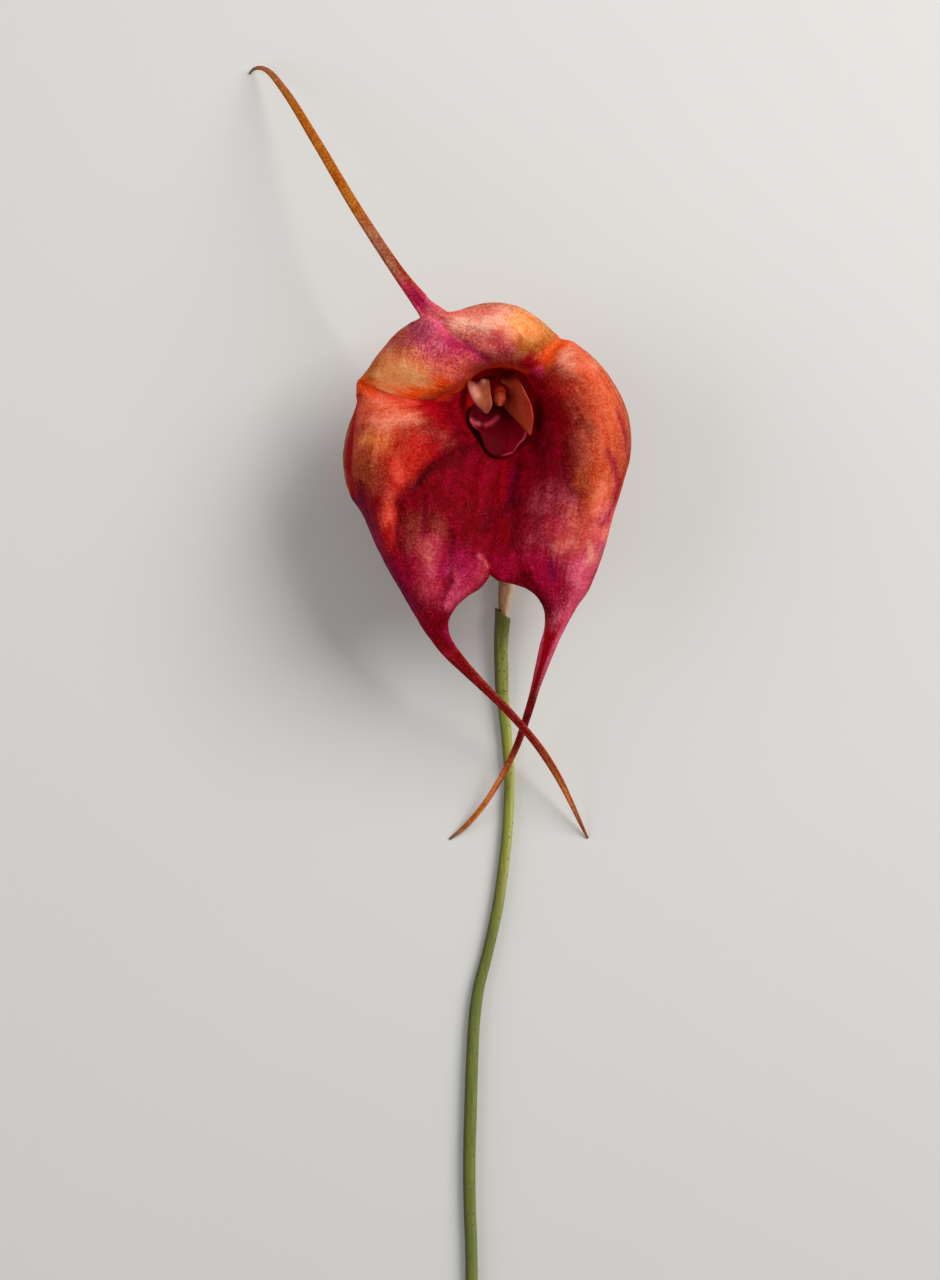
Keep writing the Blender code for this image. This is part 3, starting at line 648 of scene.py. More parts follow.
RINGS = (
    (0, 498, 369, 9.0, 1.9, 1.5, 1.5, 0.8, 0.8),
    (1, 498, 374, 11.8, 4.4, 3.4, 4.4, 1.8, 2.4),
    (2, 499, 384, 16.0, 6.6, 4.9, 6.9, 2.4, 4.6),
    (3, 501, 398, 21.0, 8.6, 6.65, 9.9, 3.3, 4.5),
)
TUBE_END = (498, 367.5, 8.5)
SINUS_S = 5
NOTCH_S = 7

LEFT_CREASE = ((4, 415, 400, 26.5), (5, 357.8, 382, 24.0))
RIGHT_CREASE = ((4, 540, 362, 26.8), (5, 559.5, 338.4, 24.5))
VENTRAL_LINE = ((4, 499, 470, 19.3), (5, 496, 505, 23.2), (6, 493, 542, 25.7), (7, 490, 573.5, 26.6))

DORSAL_LEFT_EDGE = (
    (5.5, 366, 371, 23.8), (6, 380, 350.5, 24.6), (6.5, 395, 333.5, 25.8),
    (7, 409, 324.2, 27.0), (7.5, 416, 321.3, 28.0),
)
DORSAL_LEFT_VEIN = ((4, 448, 382, 29.0), (5, 412, 368, 30.5), (6, 408, 350, 30.5), (7, 421, 331, 29.8))
DORSAL_MIDVEIN = ((4, 480, 358, 30.0), (5, 462, 347, 30.2), (6, 447, 335, 30.0), (7, 437, 324, 29.6))
DORSAL_RIGHT_VEIN = ((4, 507, 353, 30.0), (5, 512, 338, 31.0), (6, 489, 324, 30.7), (7, 459, 320, 29.9))
DORSAL_RIGHT_EDGE = (
    (5.5, 547, 326, 25.2), (6, 526, 309.5, 26.3), (6.5, 504, 303, 27.0),
    (7, 480, 303.8, 27.4), (7.5, 460, 312, 28.3), (7.8, 450.5, 315, 28.8),
)
RIGHT_OUTER_EDGE = (
    (5.25, 581, 348.5, 23.8), (5.5, 597.5, 362, 23.4), (5.8, 613, 380, 23.2),
    (6.1, 626, 403, 23.0), (6.4, 632.5, 430, 22.9), (6.7, 632, 456, 22.9),
    (7, 625, 481, 23.0), (7.5, 612.5, 522, 23.2), (8, 601, 560, 23.5),
    (8.5, 588, 589, 24.0), (9, 572, 615, 24.2), (9.5, 559.5, 638, 23.8),
)
RIGHT_OUTER_VEIN = (
    (4, 565, 372, 29.0), (5, 590, 385, 30.0), (6, 608, 430, 29.5),
    (7, 602, 485, 28.8), (8, 583, 550, 28.6), (9, 564, 610, 26.8),
)
RIGHT_MIDVEIN = (
    (4, 560, 405, 27.5), (5, 578, 440, 29.3), (6, 580, 480, 29.3),
    (7, 573, 525, 28.8), (8, 563, 570, 28.4), (9, 557, 615, 26.6),
)
RIGHT_INNER_VEIN = (
    (4, 538, 447, 22.3), (5, 541, 485, 26.0), (6, 539, 522, 27.6),
    (7, 536, 552, 28.0), (8, 540, 582, 27.9), (9, 550, 616, 26.3),
)
RIGHT_INNER_EDGE = (
    (7.3, 498, 579.5, 26.6), (7.7, 516, 584, 26.8), (8.1, 531, 590, 26.8),
    (8.6, 541.5, 600, 26.5), (9, 546, 610, 26.0), (9.5, 546, 626, 25.0),
)
LEFT_INNER_EDGE = (
    (7.4, 482, 586.5, 26.5), (7.8, 469, 596, 26.6), (8.3, 456, 607.5, 26.2),
    (8.8, 448.5, 618.5, 25.6), (9.3, 447.5, 628, 24.9),
)
LEFT_INNER_VEIN = (
    (4, 467, 450, 23.5), (5, 453, 487, 26.4), (6, 447, 523, 27.6),
    (7, 440, 556, 28.2), (8, 433, 588, 27.9), (9, 436, 617, 26.0),
)
LEFT_MIDVEIN = (
    (4, 443, 425, 27.5), (5, 412, 455, 29.0), (6, 402, 495, 28.8),
    (7, 401, 535, 28.6), (8, 410, 575, 28.0), (9, 425, 611, 26.2),
)
LEFT_OUTER_VEIN = (
    (4, 427, 408, 28.5), (5, 385, 415, 30.3), (6, 370, 455, 29.8),
    (7, 373, 502, 28.9), (8, 390, 560, 27.8), (9, 415, 606, 25.8),
)
LEFT_OUTER_EDGE = (
    (5.3, 356, 398, 23.6), (5.6, 351, 414, 23.2), (6, 344, 438, 22.9),
    (6.5, 341.8, 468, 22.9), (7, 349.5, 496, 23.0), (7.4, 362, 513, 23.2),
    (7.8, 372, 534, 23.4), (8.3, 386, 563, 23.8), (8.7, 399, 585, 24.0),
    (9.2, 414, 613, 24.1), (9.6, 426, 632, 23.8),
)

FORMS = {
    Sepal.DORSAL: SepalForm(
        angles=(-74, -47, -20, 10, 40),
        veins=(
            (LEFT_CREASE, DORSAL_LEFT_EDGE), DORSAL_LEFT_VEIN, DORSAL_MIDVEIN,
            DORSAL_RIGHT_VEIN, (RIGHT_CREASE, DORSAL_RIGHT_EDGE),
        ),
        tail=(
            (8, 428.5, 311.5, 29.2, 3.9), (8.5, 418.5, 299, 28.9, 3.0), (9.3, 396.5, 270, 27.8, 2.1),
            (10.2, 357, 210, 24.0, 1.8), (11.2, 315, 139.5, 16.3, 1.58),
            (11.9, 284, 90, 9.0, 1.28), (12.3, 267.5, 70.8, 4.6, 0.95),
            (12.5, 260, 68, 2.8, 0.75), (12.7, 253, 69.7, 1.05, 0.55), (12.85, 249.5, 74, 0.16, 0.38),
        ),
        free_from=(SINUS_S, SINUS_S),
        tail_hues=(
            (7.6, Hue.PINK, Hue.LIT_PINK), (8.2, Hue.MAGENTA, Hue.LIT_PINK), (8.7, Hue.MAGENTA, Hue.ROSE),
            (9.0, Hue.ROSE, Hue.RUST), (9.3, Hue.TAN, Hue.RUST), (9.8, Hue.TAN, Hue.TAN),
            (10.2, Hue.OCHRE, Hue.OCHRE), (11.6, Hue.OCHRE, Hue.OCHRE), (12.2, Hue.OLIVE_GOLD, Hue.TAN),
            (12.5, Hue.TAN, Hue.WAX), (12.7, Hue.TIP_GREEN, Hue.TIP_GREEN),
            (12.9, Hue.TIP_GREEN, Hue.TIP_GREEN),
        ),
        lit_edge=1,
    ),
    Sepal.RIGHT: SepalForm(
        angles=(40, 75, 107, 140, 175),
        veins=(
            (RIGHT_CREASE, RIGHT_OUTER_EDGE), RIGHT_OUTER_VEIN, RIGHT_MIDVEIN,
            RIGHT_INNER_VEIN, (VENTRAL_LINE, RIGHT_INNER_EDGE),
        ),
        tail=(
            (10, 547, 649, 23.4, 2.8), (10.5, 536.7, 683, 18.6, 1.6), (11, 530.5, 705, 14.6, 1.38),
            (11.5, 520.5, 736, 9.4, 1.22), (12, 511.2, 758, 6.6, 1.1), (12.5, 499, 781, 4.4, 0.98),
            (13, 484.3, 804, 2.8, 0.98), (13.5, 466.6, 825, 1.4, 0.9), (14, 449.5, 839, 0.16, 0.38),
        ),
        free_from=(SINUS_S, NOTCH_S),
        tail_hues=(
            (9.0, Hue.CARMINE, Hue.CRIMSON), (9.6, Hue.CARMINE, Hue.LIT_PINK),
            (10.2, Hue.CARMINE, Hue.LIT_PINK), (10.8, Hue.TAIL_RED, Hue.BRICK),
            (11.0, Hue.TAIL_RED, Hue.TAIL_RED), (11.6, Hue.TAIL_RED, Hue.BRICK), (12.0, Hue.RUST, Hue.WAX),
            (12.5, Hue.GOLD, Hue.WAX), (13.2, Hue.OCHRE, Hue.GOLD), (13.7, Hue.OLIVE_GOLD, Hue.TAN),
            (13.9, Hue.TIP_GREEN, Hue.WAX), (14.1, Hue.TIP_GREEN, Hue.TIP_GREEN),
        ),
        lit_edge=-1,
    ),
    Sepal.LEFT: SepalForm(
        angles=(175, 207, 237, 262, 286),
        veins=(
            (VENTRAL_LINE, LEFT_INNER_EDGE), LEFT_INNER_VEIN, LEFT_MIDVEIN,
            LEFT_OUTER_VEIN, (LEFT_CREASE, LEFT_OUTER_EDGE),
        ),
        tail=(
            (10, 449, 650, 22.8, 2.85), (10.4, 464.3, 667, 20.6, 2.1), (10.9, 484, 687, 17.9, 1.62),
            (11.5, 509, 712, 14.8, 1.38), (12, 532.3, 738.5, 11.6, 1.32), (12.4, 544.5, 755, 9.7, 1.35),
            (12.9, 558.7, 778, 7.0, 1.2), (13.4, 571.2, 803, 4.2, 0.92),
            (13.8, 581.4, 825, 1.55, 0.64), (14.1, 587.7, 838, 0.16, 0.38),
        ),
        free_from=(NOTCH_S, SINUS_S),
        tail_hues=(
            (9.0, Hue.CRIMSON, Hue.CRIMSON), (9.6, Hue.CLARET, Hue.MAGENTA),
            (10.2, Hue.TAIL_RED, Hue.TAIL_RED), (11.0, Hue.TAIL_RED, Hue.BRICK),
            (11.8, Hue.TAIL_RED, Hue.BRICK), (12.3, Hue.BRICK, Hue.RUST), (12.9, Hue.OCHRE, Hue.RUST),
            (13.3, Hue.GOLD, Hue.TAN), (13.6, Hue.TAN, Hue.WAX), (13.9, Hue.WAX_SHADE, Hue.WAX),
            (14.2, Hue.TIP_GREEN, Hue.TIP_GREEN),
        ),
        lit_edge=-1,
    ),
}


@dataclass
class Sheet:
    """A surface with no thickness yet, and what each of its points carries."""

    points: Array
    faces: Array
    half: Array
    s: Array | None = None
    t: Array | None = None
    sepal: Array | None = None
    flow: Array | None = None

    def normals(self) -> Array:
        """Finds the directions out of the surface.

        Returns:
            A unit normal at each point, from the faces round it.
        """
        a, b, c, d = (self.points[self.faces[:, k]] for k in range(4))
        facing = np.cross(c - a, d - b)
        total = np.zeros_like(self.points)
        for k in range(4):
            np.add.at(total, self.faces[:, k], facing)
        return unit(total)

    def raise_by(self, heights: Array) -> None:
        """Moves each point along its normal, in place."""
        self.points = self.points + self.normals() * heights[:, None]


@dataclass
class Shell:
    """A closed mesh round a sheet: source is the sheet's point, side is 1 inside and -1 outside."""

    points: Array
    faces: list[tuple[int, ...]]
    source: Array
    side: Array

    def piece(self, name: str, finish: Finish, colours: Array) -> bpy.types.Object:
        """Makes it a painted object.

        Args:
            name: the piece's name.
            finish: its finish.
            colours: a linear colour for each point.

        Returns:
            The object, linked to the scene.
        """
        piece = make_object(name, self.points, self.faces, finish.material())
        paint(piece, colours)
        return piece


def grid_faces(rows: int, columns: int, first: int = 0) -> Array:
    """The faces of a grid of points.

    Args:
        rows: how many rows it has.
        columns: how many points a row has.
        first: the number of its first point.

    Returns:
        Four corners for each cell.
    """
    index = first + np.arange(rows * columns).reshape(rows, columns)
    quads = np.stack([index[:-1, :-1], index[:-1, 1:], index[1:, 1:], index[1:, :-1]], axis=-1)
    return quads.reshape(-1, 4)


def thicken(sheet: Sheet) -> Shell:
    """Closes a sheet into a shell with a rounded rim.

    Args:
        sheet: the surface; half is half its thickness at each point.

    Returns:
        The shell, with its inner side first, then its outer side and its rim.
    """
    normals = sheet.normals()
    n = len(sheet.points)
    offset = normals * sheet.half[:, None]
    quads = [tuple(dict.fromkeys(face)) for face in sheet.faces.tolist()]
    sides = {(a, b) for face in quads for a, b in zip(face, face[1:] + face[:1])}
    rim = sorted((a, b) for a, b in sides if (b, a) not in sides)
    outward = np.zeros_like(sheet.points)
    for a, b in rim:
        along = unit(sheet.points[b] - sheet.points[a])
        away = np.cross(along, normals[a] + normals[b])
        outward[a] += away
        outward[b] += away
    edge = np.array(sorted({a for a, _ in rim}), int)
    place = {int(a): 2 * n + i for i, a in enumerate(edge)}
    rounded = sheet.points[edge] + unit(outward[edge]) * sheet.half[edge, None]
    points = np.concatenate([sheet.points + offset, sheet.points - offset, rounded])
    faces = quads + [tuple(i + n for i in reversed(face)) for face in quads]
    for a, b in rim:
        faces.append((b, a, place[a], place[b]))
        faces.append((place[b], place[a], a + n, b + n))
    source = np.concatenate([np.arange(n), np.arange(n), edge])
    side = np.concatenate([np.ones(n), -np.ones(n), np.zeros(len(edge))])
    return Shell(points, faces, source, side)


def blade(
    grid: Array, half: Array, along: Array, across: Array, rough: Lumps,
) -> tuple[Shell, Array, Array]:
    """Closes a grid of points into a thin, slightly uneven blade.

    Args:
        grid: points in metres, in rows along the blade.
        half: half its thickness at each place across.
        along: each row's place along it.
        across: each column's place across it.
        rough: its unevenness.

    Returns:
        The shell, and the places along and across of its points.
    """
    rows, columns = grid.shape[:2]
    sheet = Sheet(grid.reshape(-1, 3), grid_faces(rows, columns), np.tile(half, rows))
    sheet.raise_by(rough.at(sheet.points))
    shell = thicken(sheet)
    return shell, np.repeat(along, columns)[shell.source], np.tile(across, rows)[shell.source]


def link(name: str, data: bpy.types.ID) -> bpy.types.Object:
    """Puts a mesh, a light or a camera into the scene.

    Args:
        name: the object's name.
        data: what it holds.

    Returns:
        The object, at the origin.
    """
    made = bpy.data.objects.new(name, data)
    bpy.context.scene.collection.objects.link(made)
    return made


def make_object(name: str, points: Array, faces: Sequence, material: bpy.types.Material) -> bpy.types.Object:
    """Makes a smooth mesh object at the origin.

    Args:
        name: the piece's name.
        points: its points in metres.
        faces: the corners of its faces.
        material: its finish.

    Returns:
        The object, linked to the scene.
    """
    mesh = bpy.data.meshes.new(name)
    mesh.from_pydata(points.tolist(), [], [tuple(face) for face in faces])
    mesh.validate()
    mesh.shade_smooth()
    mesh.materials.append(material)
    return link(name, mesh)


def carry(piece: bpy.types.Object, name: str, values: Array) -> None:
    """Stores a number, a vector or a colour on each point of a piece.

    Args:
        piece: the mesh object.
        name: the attribute's name, which its material or its geometry nodes read.
        values: one row for each point.
    """
    kinds = {1: ("FLOAT", "value"), 3: ("FLOAT_VECTOR", "vector"), 4: ("FLOAT_COLOR", "color")}
    values = np.asarray(values, np.float32)
    kind, key = kinds[1 if values.ndim == 1 else values.shape[1]]
    layer = piece.data.attributes.new(name, kind, "POINT")
    layer.data.foreach_set(key, values.reshape(-1))


def paint(piece: bpy.types.Object, colours: Array) -> None:
    """Stores linear colours on a piece as its coat."""
    opaque = np.ones((len(colours), 1))
    carry(piece, "coat", np.concatenate([np.clip(colours, 0, 1), opaque], axis=1))


def hand_in(piece: bpy.types.Object, slot: str, *nodes: str) -> None:
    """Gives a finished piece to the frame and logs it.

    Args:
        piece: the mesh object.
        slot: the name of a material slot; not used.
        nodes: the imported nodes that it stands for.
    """
    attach(piece, "root")
    if nodes:
        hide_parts(*nodes)
    log.info("%s: %d points, %d faces", piece.name, len(piece.data.vertices), len(piece.data.polygons))


class Finish:
    """What the finishes share: a named material with its shader."""

    name = "plain"

    def material(self) -> bpy.types.Material:
        """Makes the material.

        Returns:
            The material, with the nodes that dress adds.
        """
        material = bpy.data.materials.new(self.name)
        material.use_nodes = True
        tree = material.node_tree
        self.dress(tree, tree.nodes["Principled BSDF"])
        return material

    def dress(self, tree: Tree, shader: Node) -> None:
        """Adds the finish's own nodes."""


@dataclass(frozen=True)
class SepalTissue(Finish):
    """Fleshy sepal skin, grown, not made: soft mottling, fine stipple and a low satin shine.

    The grain stops at 0.28 mm, because finer cells wouldn't show in the render.
    """

    name = "fleshy_sepal_tissue"
    blotch_mm: float = 2.2
    stipple_mm: float = 0.55
    grain_mm: float = 0.28
    worm_mm: float = 1.25
    worm_twist: float = 1.3
    dot_mm: float = 1.0
    bump: float = 0.45
    bump_mm: float = 0.28
    shine: float = 0.07
    shine_tint: tuple[float, ...] = (1.0, 0.42, 0.36, 1.0)
    translucency: float = 0.3
    bleed_mm: float = 1.6
    bleed_tint: tuple[float, ...] = (1.0, 0.18, 0.14)

    def dress(self, tree: Tree, shader: Node) -> None:
        """Breaks the painted coat up as the photograph's skin is broken up.

        Args:
            tree: the material's tree.
            shader: its shader.
        """
        place = put(tree, "ShaderNodeTexCoord").outputs["Object"]
        rays = attribute(tree, "rays", "Vector")
        masks = put(tree, "ShaderNodeSeparateXYZ", {0: attribute(tree, "marks", "Vector")}).outputs
        layers = []
        depth = 1.0
        # Blotches, stipple, grain, streaks and bands, each with its depths: one over 1 deepens the coat
        for vector, scale, detail, low, high in (
            (place, scale_of(self.blotch_mm), 3.0, 1.14, 0.88),
            (place, scale_of(self.stipple_mm), 1.5, 1.2, 0.85),
            (place, scale_of(self.grain_mm), 0.0, 1.08, 0.92),
            (rays, 0.9, 2.5, 1.1, 0.92),
            (rays, 0.33, 1.5, 1.1, 0.92),
        ):
            layer = put(tree, "ShaderNodeTexNoise", {"Vector": vector, "Scale": scale, "Detail": detail})
            depth = maths(tree, "MULTIPLY", remap(tree, layer, MOST_NOISE, (low, high)), depth)
            layers.append(layer)
        _, stipple, grain, streak, _ = layers
        uneven = put(tree, "ShaderNodeGamma", {"Color": attribute(tree, "coat", "Color"), "Gamma": depth})
        # The worm-like net follows the lines along which a twisted noise passes its middle
        worms = put(tree, "ShaderNodeTexNoise", {
            "Vector": place, "Scale": scale_of(self.worm_mm), "Detail": 0.5, "Distortion": self.worm_twist,
        })
        aside = maths(tree, "ABSOLUTE", maths(tree, "SUBTRACT", worms, 0.5))
        net = remap(tree, aside, (0.01, 0.09), (1.0, 0.0))
        wormed = mix(tree, maths(tree, "MULTIPLY", net, masks["X"]), uneven, Hue.MAGENTA)
        # Pale dots: the papillae's own paleness with painted glints
        dots = put(tree, "ShaderNodeTexVoronoi", {"Vector": place, "Scale": scale_of(self.dot_mm)})
        dot = remap(tree, dots.outputs["Distance"], (0.1, 0.2), (1.0, 0.0))
        dotted = mix(tree, maths(tree, "MULTIPLY", dot, masks["Y"]), wormed, Hue.SALMON)
        relief = maths(tree, "ADD", maths(tree, "ADD", stipple, grain), streak)
        height = maths(tree, "MULTIPLY_ADD", net, -0.5, relief)
        feed(tree, shader, {
            "Base Color": dotted,
            "Roughness": remap(tree, stipple, MOST_NOISE, (0.5, 0.7)),
            "Normal": put(tree, "ShaderNodeBump", {
                "Height": height, "Strength": self.bump, "Distance": self.bump_mm * MM,
            }),
            "Specular IOR Level": self.shine,
            "Specular Tint": self.shine_tint,
            "Subsurface Weight": self.translucency,
            "Subsurface Radius": self.bleed_tint,
            "Subsurface Scale": self.bleed_mm * MM,
        })


@dataclass(frozen=True)
class PaintedTissue(Finish):
    """Smaller waxy pieces whose own coat of colour is broken up by fine cells."""

    name: str = "waxy_tissue"
    cell_mm: float = 0.5
    long_mm: float = 0.5
    contrast: float = 0.18
    roughness: float = 0.42
    shine: float = 0.16
    bump: float = 0.3
    bump_mm: float = 0.15
    spot: Hue | None = None
    spot_mm: float = 0.9
    spot_share: float = 0.16
    spot_fade: float = 0.12
    spot_depth: float = 0.75

    def dress(self, tree: Tree, shader: Node) -> None:
        """Adds cells that can run long down the piece, and darker spots where it has them.

        Args:
            tree: the material's tree.
            shader: its shader.
        """
        place = put(tree, "ShaderNodeTexCoord").outputs["Object"]
        shrink = [scale_of(size) for size in (self.cell_mm, self.long_mm, self.cell_mm)]
        run = put(tree, "ShaderNodeMapping", {"Vector": place, "Scale": shrink})
        cells = put(tree, "ShaderNodeTexNoise", {"Vector": run, "Scale": 1.0, "Detail": 2.5})
        level = remap(tree, cells, (0.28, 0.72), (1 - self.contrast, 1 + self.contrast))
        coat = {0: attribute(tree, "coat", "Color"), "Scale": level}
        tint = put(tree, "ShaderNodeVectorMath", coat, operation="SCALE").outputs[0]
        if self.spot:
            spots = put(tree, "ShaderNodeTexVoronoi", {"Vector": place, "Scale": scale_of(self.spot_mm)})
            fade = (self.spot_share, self.spot_share + self.spot_fade)
            amount = remap(tree, spots.outputs["Distance"], fade, (self.spot_depth, 0.0))
            tint = mix(tree, amount, tint, self.spot)
        feed(tree, shader, {
            "Base Color": tint,
            "Normal": put(tree, "ShaderNodeBump", {
                "Height": cells, "Strength": self.bump, "Distance": self.bump_mm * MM,
            }),
            "Roughness": self.roughness,
            "Specular IOR Level": self.shine,
        })


@dataclass(frozen=True)
class StudioPaper(Finish):
    """Seamless matt backdrop paper: a pale ground with no shine."""

    name = "matt_studio_paper"
    colour: str = "#D9D7D2"
    roughness: float = 0.9
    shine: float = 0.1

    def dress(self, tree: Tree, shader: Node) -> None:
        """Adds faint cloudiness, as paper fibres give.

        Args:
            tree: the material's tree.
            shader: its shader.
        """
        place = put(tree, "ShaderNodeTexCoord").outputs["Object"]
        cloud = put(tree, "ShaderNodeTexNoise", {"Vector": place, "Scale": 9.0, "Detail": 2.0})
        level = remap(tree, cloud, (0.0, 1.0), (0.985, 1.015))
        tone = {0: linear(self.colour), "Scale": level}
        feed(tree, shader, {
            "Base Color": put(tree, "ShaderNodeVectorMath", tone, operation="SCALE"),
            "Roughness": self.roughness,
            "Specular IOR Level": self.shine,
        })


@dataclass
class Calyx:
    """The three sepals, grown together into a tube and free towards their tails."""

    middle: float = 0.9 * MM
    margin: float = 0.5 * MM
    tail_share: float = 0.62
    most_tail: float = 1.2 * MM
    tail_margin: float = 0.4
    roll_start: float = 0.92
    roll_angle: float = math.radians(100)
    crease: float = 0.6
    channel: float = 0.12
    rows: tuple[int, ...] = (3, 5, 7, 17, 21, 20, 19, 16, 12, 9, 9, 9, 9, 9, 4)
    columns: int = 69
    rim_columns: tuple[float, ...] = (0.93, 0.945, 0.96, 0.98, 1.0)
    lumps: tuple[Lumps, ...] = (Lumps(0.12, 5, 3), Lumps(0.04, 1.6, 8), Lumps(0.05, 0.9, 6))
    streaks: tuple[tuple[float, float], ...] = ((0.14, 2.6), (0.04, 1.1))
    streak_seed: float = 5.0
    drift: float = 1.5 * MM
    cloud: float = 2.0 * MM
    cloud_px: float = 2.0
    ray_scale: tuple[float, float, float] = (24, 1.3, 40)
    show_through: float = 0.35
    finish: SepalTissue = SepalTissue()

    def across(self) -> Array:
        """Sets places across a sepal.

        Returns:
            Places from -1 to 1, closer where the margin rolls back.
        """
        inner = np.linspace(-self.roll_start, self.roll_start, self.columns)
        rim = np.array(self.rim_columns)
        return np.concatenate([-rim[::-1], inner, rim])

    def along(self, last: float) -> Array:
        """Levels along a sepal, from the tube's base to its tail's tip."""
        levels = [k + i / n for k, n in enumerate(self.rows) for i in range(n)]
        return np.array([level for level in levels if level < last - 1e-3] + [last])

    def vein(self, form: SepalForm, k: int) -> list[tuple[list[float], list[Array]]]:
        """A vein from the tube's base to the tail's tip.

        Args:
            form: the sepal.
            k: the vein's number, from 0 to 4 across the sepal.

        Returns:
            One or two pieces, each as knots and points; an edge has a corner between them.
        """
        face = form.veins[k]
        fused, free = face if isinstance(face[0][0], tuple) else (face, ())
        start = [self.ring_point(ring, form.angles[k]) for ring in RINGS]
        start += [(s, EYE.at([place])[0]) for s, *place in fused]
        rest = [(s, EYE.at([place])[0]) for s, *place in free] + self.tail_points(form.tail, k / 2 - 1)
        pieces = [start, [start[-1]] + rest] if free else [start + rest]
        return [([row[0] for row in piece], [row[1] for row in piece]) for piece in pieces]

    def ring_point(self, ring: tuple[float, ...], angle: float) -> tuple[float, Array]:
        """A point of the tube.

        Args:
            ring: one row of RINGS.
            angle: how far round it the point lies from its dorsal side, in degrees.

        Returns:
            The ring's level and the point.
        """
        s, across, down, height, side, dorsal, ventral, rise, drop = ring
        along, up = math.sin(math.radians(angle)), math.cos(math.radians(angle))
        reach, lift = (dorsal, rise) if up > 0 else (ventral, drop)
        return s, EYE.at([(across, down, height)])[0] + np.array([side * along, reach * up, lift * up]) * MM

    def tail_points(self, tail: tuple[tuple[float, ...], ...], t: float) -> list[tuple[float, Array]]:
        """Where a vein runs along a tail.

        Args:
            tail: rows of level, across, down, height and width.
            t: the vein's place across, from -1 to 1.

        Returns:
            Each row's level and point.
        """
        centres = EYE.at([station[1:4] for station in tail])
        side, up = side_and_up(centres)
        half = np.array([station[4] for station in tail])[:, None] * MM / 2
        points = centres + side * half * t + up * half * self.channel * (2 * t * t - 1)
        return [(station[0], point) for station, point in zip(tail, points)]

    def follow(self, pieces: list, s: Array) -> Array:
        """Reads a vein.

        Args:
            pieces: the vein's pieces.
            s: levels along it.

        Returns:
            A point for each level.
        """
        points = spline(*pieces[0], np.minimum(s, pieces[0][0][-1]))
        for knots, values in pieces[1:]:
            later = s > knots[0]
            points[later] = spline(knots, values, s[later])
        return points

    def roll(self, points: Array, amounts: list[Array], across: Array) -> None:
        """Rolls each free margin back, in place.

        Args:
            points: a grid of points, in rows along the sepal.
            amounts: how far each row's first and last margins roll, from 0 to 1.
            across: the columns' places across.
        """
        for sign, amount in zip((-1, 1), amounts):
            start = int(np.argmin(np.abs(across - sign * self.roll_start)))
            hinge, edge = points[:, start].copy(), points[:, 0 if sign < 0 else -1].copy()
            outward = edge - hinge
            reach = np.linalg.norm(outward, axis=1, keepdims=True)
            inner_face = unit(np.cross(outward * sign, np.gradient(hinge, axis=0)))
            angle = np.maximum(self.roll_angle * amount, 1e-4)[:, None]
            widest = np.sin(np.minimum(angle, math.pi / 2))
            for column in np.flatnonzero(across * sign > self.roll_start + 1e-6):
                turn = angle * (across[column] * sign - self.roll_start) / (1 - self.roll_start)
                sunk = inner_face * reach * (1 - np.cos(turn)) / widest
                rolled = hinge + outward * np.sin(turn) / widest - sunk
                points[:, column] = np.where(amount[:, None] > 0, rolled, points[:, column])

    def sepal_grid(self, which: Sepal) -> tuple[Array, Array, Array, Array]:
        """The middle surface of one sepal.

        Args:
            which: the sepal.

        Returns:
            A grid of points, half the thickness at each, and the levels and places across.
        """
        form = FORMS[which]
        before = self.vein(FORMS[Sepal((which.value - 1) % 3)], 3)
        after = self.vein(FORMS[Sepal((which.value + 1) % 3)], 1)
        across, s = self.across(), self.along(form.tail[-1][0])
        veins = [self.follow(self.vein(form, k), s) for k in range(5)]
        near = [self.follow(piece, np.minimum(s, piece[-1][0][-1])) for piece in (before, after)]
        # Where two sepals are grown together, the slope at their seam is taken across both
        hold = [1 - ramp(s, free, free + 1) for free in form.free_from]
        hold = [(h * self.crease if free == SINUS_S else h)[:, None] for h, free in zip(hold, form.free_from)]
        first = -1.5 * veins[0] + 2 * veins[1] - 0.5 * veins[2]
        last = 1.5 * veins[4] - 2 * veins[3] + 0.5 * veins[2]
        first = first + ((veins[1] - near[0]) / 2 - first) * hold[0]
        last = last + ((near[1] - veins[3]) / 2 - last) * hold[1]
        slopes = [first, *((veins[k + 1] - veins[k - 1]) / 2 for k in (1, 2, 3)), last]
        columns = []
        for t in across:
            k = min(int((t + 1) * 2), 3)
            columns.append(cubic(veins[k], veins[k + 1], slopes[k], slopes[k + 1], (t + 1) * 2 - k))
        points = np.stack(columns, axis=1)
        tail_start = form.tail[0][0]
        flat = 1 - ramp(s, tail_start - 1, tail_start)
        self.roll(points, [ramp(s, free, free + 0.7) * flat for free in form.free_from], across)
        width = np.linalg.norm(veins[4] - veins[0], axis=1)
        share = ramp(s, tail_start - 1.5, tail_start)
        tail = np.minimum(width * self.tail_share, self.most_tail)
        middle = self.middle + (tail - self.middle) * share
        margin = self.margin + (self.tail_margin * tail - self.margin) * share
        t2 = across[None, :] ** 2
        crown = np.where(share[:, None] > 0, np.sqrt(1 - 0.98 * t2), 1 - t2**4)
        return points, (margin[:, None] + (middle - margin)[:, None] * crown) / 2, s, across

